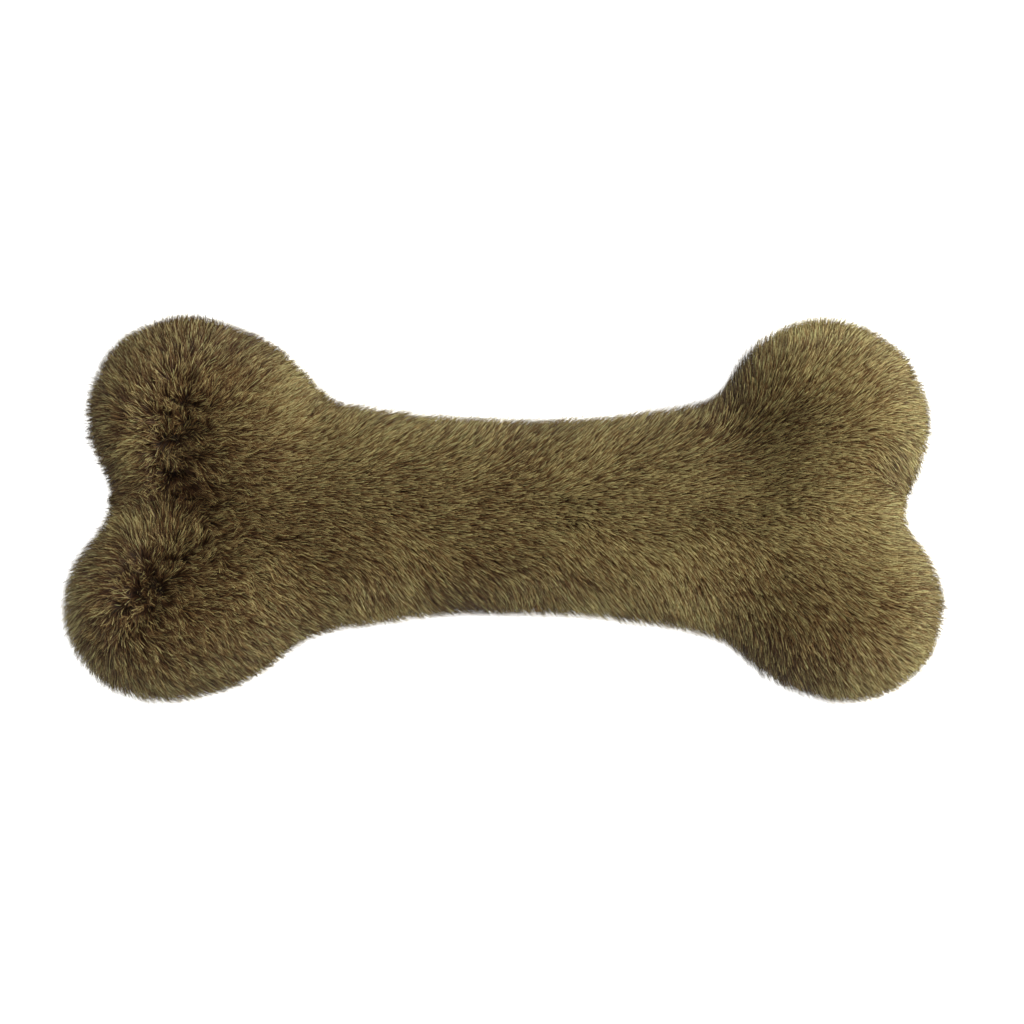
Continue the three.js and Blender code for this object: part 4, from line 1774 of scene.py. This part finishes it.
@dataclass
class SeamStitching:
    """The lock-stitched seam: a two-ply thread on each side of the turned-in allowances, in millimetres."""

    pattern: BonePattern
    inset: float = 8.2
    height: float = 1.95
    spacing: float = 3.0
    overlap: float = 1.04
    ply_radius: float = 0.17
    ply_gap: float = 0.8
    twist: float = 1.25
    steps: int = 6
    sides: int = 4
    dip: float = 0.5

    def stitch(self) -> Object:
        """Builds one stitch along X: two plies twisted round each other, with its ends drawn in.

        Returns:
            The stitch, as a helper object.
        """
        points: list[Point] = []
        faces: list[Face] = []
        length = self.spacing * self.overlap
        out = self.ply_radius * self.ply_gap
        for ply in (0.0, math.pi):
            first = len(points)
            for step in range(self.steps):
                share = step / (self.steps - 1)
                angle = ply + math.tau * self.twist * share
                x, y = (share - 0.5) * length, out * math.cos(angle)
                z = out * math.sin(angle) - self.dip * (2 * share - 1) ** 4
                for side in range(self.sides):
                    around = math.tau * side / self.sides
                    rim_y, rim_z = self.ply_radius * math.cos(around), self.ply_radius * math.sin(around)
                    points.append((x * MM, (y + rim_y) * MM, (z + rim_z) * MM))
            faces += [tuple(first + i for i in face) for face in ring_faces(self.sides, self.steps)]
            faces.append(tuple(first + side for side in reversed(range(self.sides))))
            faces.append(tuple(first + (self.steps - 1) * self.sides + side for side in range(self.sides)))
        return new_object("stitch", points, faces)

    def tree(self) -> Maker:
        """Builds the Geometry Nodes tree that lays stitches end to end along a line.

        Returns:
            The tree.
        """
        maker = Maker("stitches")
        stitch, spacing, facing, material = maker.ask(
            Stitch="Object", Spacing="Float", Facing="Vector", Material="Material"
        )
        line = maker.add("GeometryNodeMeshToCurve", None, {"Mesh": maker.geometry})
        even = maker.add("GeometryNodeResampleCurve", {"mode": "LENGTH"}, {"Curve": line, "Length": spacing})
        tangent = maker.add("GeometryNodeInputTangent")
        axes = {"primary_axis": "Z", "secondary_axis": "X"}
        ways = {"Primary Axis": facing, "Secondary Axis": tangent}
        along = maker.add("FunctionNodeAxesToRotation", axes, ways)
        shape = maker.add("GeometryNodeObjectInfo", None, {"Object": stitch}, "Geometry")
        placed = {"Points": even, "Instance": shape, "Rotation": along}
        maker.finish(maker.add("GeometryNodeInstanceOnPoints", None, placed), material)
        return maker

    def build(self, material: Material) -> None:
        """Builds the needle thread on the front allowance and the bobbin thread on the back one.

        Args:
            material: The thread's material.
        """
        stitch, maker = self.stitch(), self.tree()
        for node, facing in (("seam_needle_thread", 1), ("seam_bobbin_thread", -1)):
            ring = self.pattern.level_ring(self.inset, facing * self.height)
            line = linked("seam_line", bpy.data.meshes.new("seam_line"))
            edges = [(i, (i + 1) % len(ring)) for i in range(len(ring))]
            line.data.from_pydata([tuple(map(float, point)) for point in ring], edges, [])
            values = {"Stitch": stitch, "Spacing": self.spacing * MM, "Material": material}
            values["Facing"] = (0.0, 0.0, float(facing))
            made = maker.run(line, node + "_stitches", values)
            discard(line)
            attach(made, "toy")
            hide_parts(node)
            report(made)
        discard(stitch)


@dataclass
class Squeaker:
    """The bellows squeaker between the handfuls of filling in the shaft, in millimetres."""

    radius: float = 17.0
    fold_depth: float = 3.0
    fold_pitch: float = 5.0
    folds: int = 3
    wall: float = 0.8
    shoulder_rise: float = 1.5
    neck_height: float = 4.0
    neck_radius: float = 5.15
    ridge: float = 0.15
    segments: int = 96
    steps_per_fold: int = 14
    travel: float = 8.0

    def side_profile(self, inward: float) -> list[tuple[float, float]]:
        """Draws the folds' profile from the bottom up.

        Args:
            inward: How far it is moved inward, in millimetres.

        Returns:
            The radius and the height of each point, in millimetres.
        """
        root = self.radius - self.fold_depth - inward
        count = self.folds * self.steps_per_fold
        heights = [self.folds * self.fold_pitch * step / count for step in range(1, count)]
        waves = [0.5 - 0.5 * math.cos(math.tau * z / self.fold_pitch) for z in heights]
        return [(root + self.fold_depth * wave, z) for wave, z in zip(waves, heights)]

    def profile(self) -> list[tuple[float, float]]:
        """Draws the bellows' closed section from the axis outside round to the axis inside.

        Returns:
            The radius and the height of each point, in millimetres.
        """
        root = self.radius - self.fold_depth
        top = self.folds * self.fold_pitch
        base = top + self.shoulder_rise
        lip = base + self.neck_height
        neck = self.neck_radius + self.wall
        outside = [(0.0, 0.0), (5.0, 0.0), (5.4, 0.25), (6.2, 0.25), (6.6, 0.0)]
        outside += [(root - 1.0, 0.0), (root - 0.3, 0.1)]
        outside += self.side_profile(0.0)
        outside += [(root - 0.4, top + 0.15), (neck + 1.2, base - 0.15)]
        outside += [(neck + 0.4, base), (neck, base + 0.5)]
        outside += [(neck, lip - 0.3), (neck - 0.15, lip - 0.05), (neck - 0.4, lip)]
        outside += [(self.neck_radius + 0.1, lip - 0.05)]
        inside = [(self.neck_radius, lip - 0.3), (self.neck_radius, base - self.wall)]
        inside += [(x, z) for x, z in reversed(self.side_profile(self.wall)) if self.wall < z < top - 0.6]
        inside += [(root - self.wall - 0.4, self.wall), (0.0, self.wall)]
        return outside + inside

    def bellows(self) -> Object:
        """Turns the bellows round its axis, with the fine ridges that its mould's halves leave.

        Returns:
            The bellows.
        """
        low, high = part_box("squeaker_bellows")
        center = (low + high) / 2
        profile = self.profile()
        ring = len(profile) - 2
        points = [(center.x, center.y, low.z + profile[end][1] * MM) for end in (0, -1)]
        for segment in range(self.segments):
            angle = math.tau * segment / self.segments
            raised = self.ridge if segment % (self.segments // 2) == 0 else 0.0
            for number, (radius, height) in enumerate(profile[1:-1]):
                outer = number < ring // 2 and radius > self.neck_radius + 1
                reach = (radius + (raised if outer else 0.0)) * MM
                x, y = center.x + reach * math.cos(angle), center.y + reach * math.sin(angle)
                points.append((x, y, low.z + height * MM))
        faces: list[Face] = []
        for segment in range(self.segments):
            here, there = 2 + segment * ring, 2 + ((segment + 1) % self.segments) * ring
            faces += [(here + i, there + i, there + i + 1, here + i + 1) for i in range(ring - 1)]
            faces.append((0, there, here))
            faces.append((1, here + ring - 1, there + ring - 1))
        made = new_object("squeaker_bellows_folds", points, faces)
        face_outward(made.data)
        set_smooth(made.data)
        return made

    def build(self, soft: Material, rigid: Material, film: Material) -> None:
        """Builds the bellows and dresses the plug, the holder, the reed and its clamp.

        Args:
            soft: The bellows' material.
            rigid: The plug's and the rods' material.
            film: The reed's material.
        """
        made = self.bellows()
        paint(made, soft)
        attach(made, "toy")
        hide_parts("squeaker_bellows")
        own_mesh(made)
        report(made)
        dresses = {"squeaker_plug": rigid, "reed_holder": rigid, "reed_clamp": rigid, "reed": film}
        for node, material in dresses.items():
            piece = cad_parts[node]
            paint(piece, material)
            report(piece)


@dataclass
class Studio:
    """The floor, the lights and the camera, in metres but for the camera's sensor in millimetres."""

    view_width: float = 0.3502
    camera_height: float = 1.2
    sensor: float = 36.0
    aim: tuple[float, float] = (0.0028, -0.0009)
    seam_height: float = 0.0272
    floor_size: float = 6.0
    floor_glow: float = 1.05
    sky: Colour = (1.0, 0.98, 0.94, 1.0)
    sky_strength: float = 0.36

    def camera(self) -> None:
        """Looks straight down at the bone from the photograph's angle."""
        data = bpy.data.cameras.new("camera")
        lens = self.sensor * self.camera_height / self.view_width
        set_all(data, sensor_width=self.sensor, lens=lens, clip_start=0.01)
        camera = linked("camera", data)
        camera.location = (*self.aim, self.seam_height + self.camera_height)
        bpy.context.scene.camera = camera

    def floor(self) -> None:
        """Lays a plain pale floor that is lit evenly."""
        half = self.floor_size / 2
        corners = [(-half, -half, 0), (half, -half, 0), (half, half, 0), (-half, half, 0)]
        floor = new_object("floor", corners, [(0, 1, 2, 3)])
        inputs = {
            "Base Color": (0.92, 0.92, 0.92, 1.0),
            "Roughness": 0.9,
            "Emission Color": (1.0, 1.0, 1.0, 1.0),
            "Emission Strength": self.floor_glow,
        }
        paint(floor, Surface("floor").finish(inputs))

    def light(self, name: str, place: Point, size: float, power: float, warmth: Point) -> None:
        """Adds a soft square light that faces the bone.

        Args:
            name: Its name.
            place: Where it hangs, in metres.
            size: Its side, in metres.
            power: Its power, in watts.
            warmth: Its red, green and blue.
        """
        data = bpy.data.lights.new(name, "AREA")
        set_all(data, size=size, energy=power, color=warmth)
        lamp = linked(name, data)
        lamp.location = place
        lamp.rotation_euler = (-Vector(place)).to_track_quat("-Z", "Y").to_euler()

    def build(self) -> None:
        """Sets the whole studio up."""
        self.camera()
        self.floor()
        self.light("key", (1.15, 0.36, 1.3), 0.35, 30.0, (1.0, 0.99, 0.93))
        self.light("fill", (-0.5, 0.3, 1.6), 1.2, 4.0, (1.0, 0.98, 0.93))
        world = bpy.data.worlds.new("studio")
        world.use_nodes = True
        sky = world.node_tree.nodes["Background"].inputs
        sky["Color"].default_value = self.sky
        sky["Strength"].default_value = self.sky_strength
        bpy.context.scene.world = world
        bpy.context.scene.view_settings.view_transform = "Standard"


def main() -> None:
    """Builds the toy and its studio, one sub-assembly after the other."""
    logging.basicConfig(level=logging.INFO, format="%(message)s")
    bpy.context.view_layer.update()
    pattern = BonePattern()
    combing = Combing(pattern)
    form = StuffedBody(pattern, Settling()).form()
    log.info("stuffed form: %d faces", len(form.data.polygons))
    pile = PileMaker()
    strand = pile.strand()
    maker = pile.tree()
    fur, knit = FurFinish().material(), BackingFinish().material()
    for name, facing, spacing in (("fur_panel_front", 1, 0.25), ("fur_panel_back", -1, 0.38)):
        FurPanel(name, facing, pattern, combing, spacing).build(form, maker, pile, strand, fur, knit)
        log.info("%s is dressed", name)
    discard(strand)
    discard(form)
    Stuffing().build(FILL.material())
    SeamStitching(pattern).build(THREAD.material())
    Squeaker().build(SOFT.material(), RIGID.material(), FILM.material())
    Studio().build()


if __name__ == "__main__":
    main()
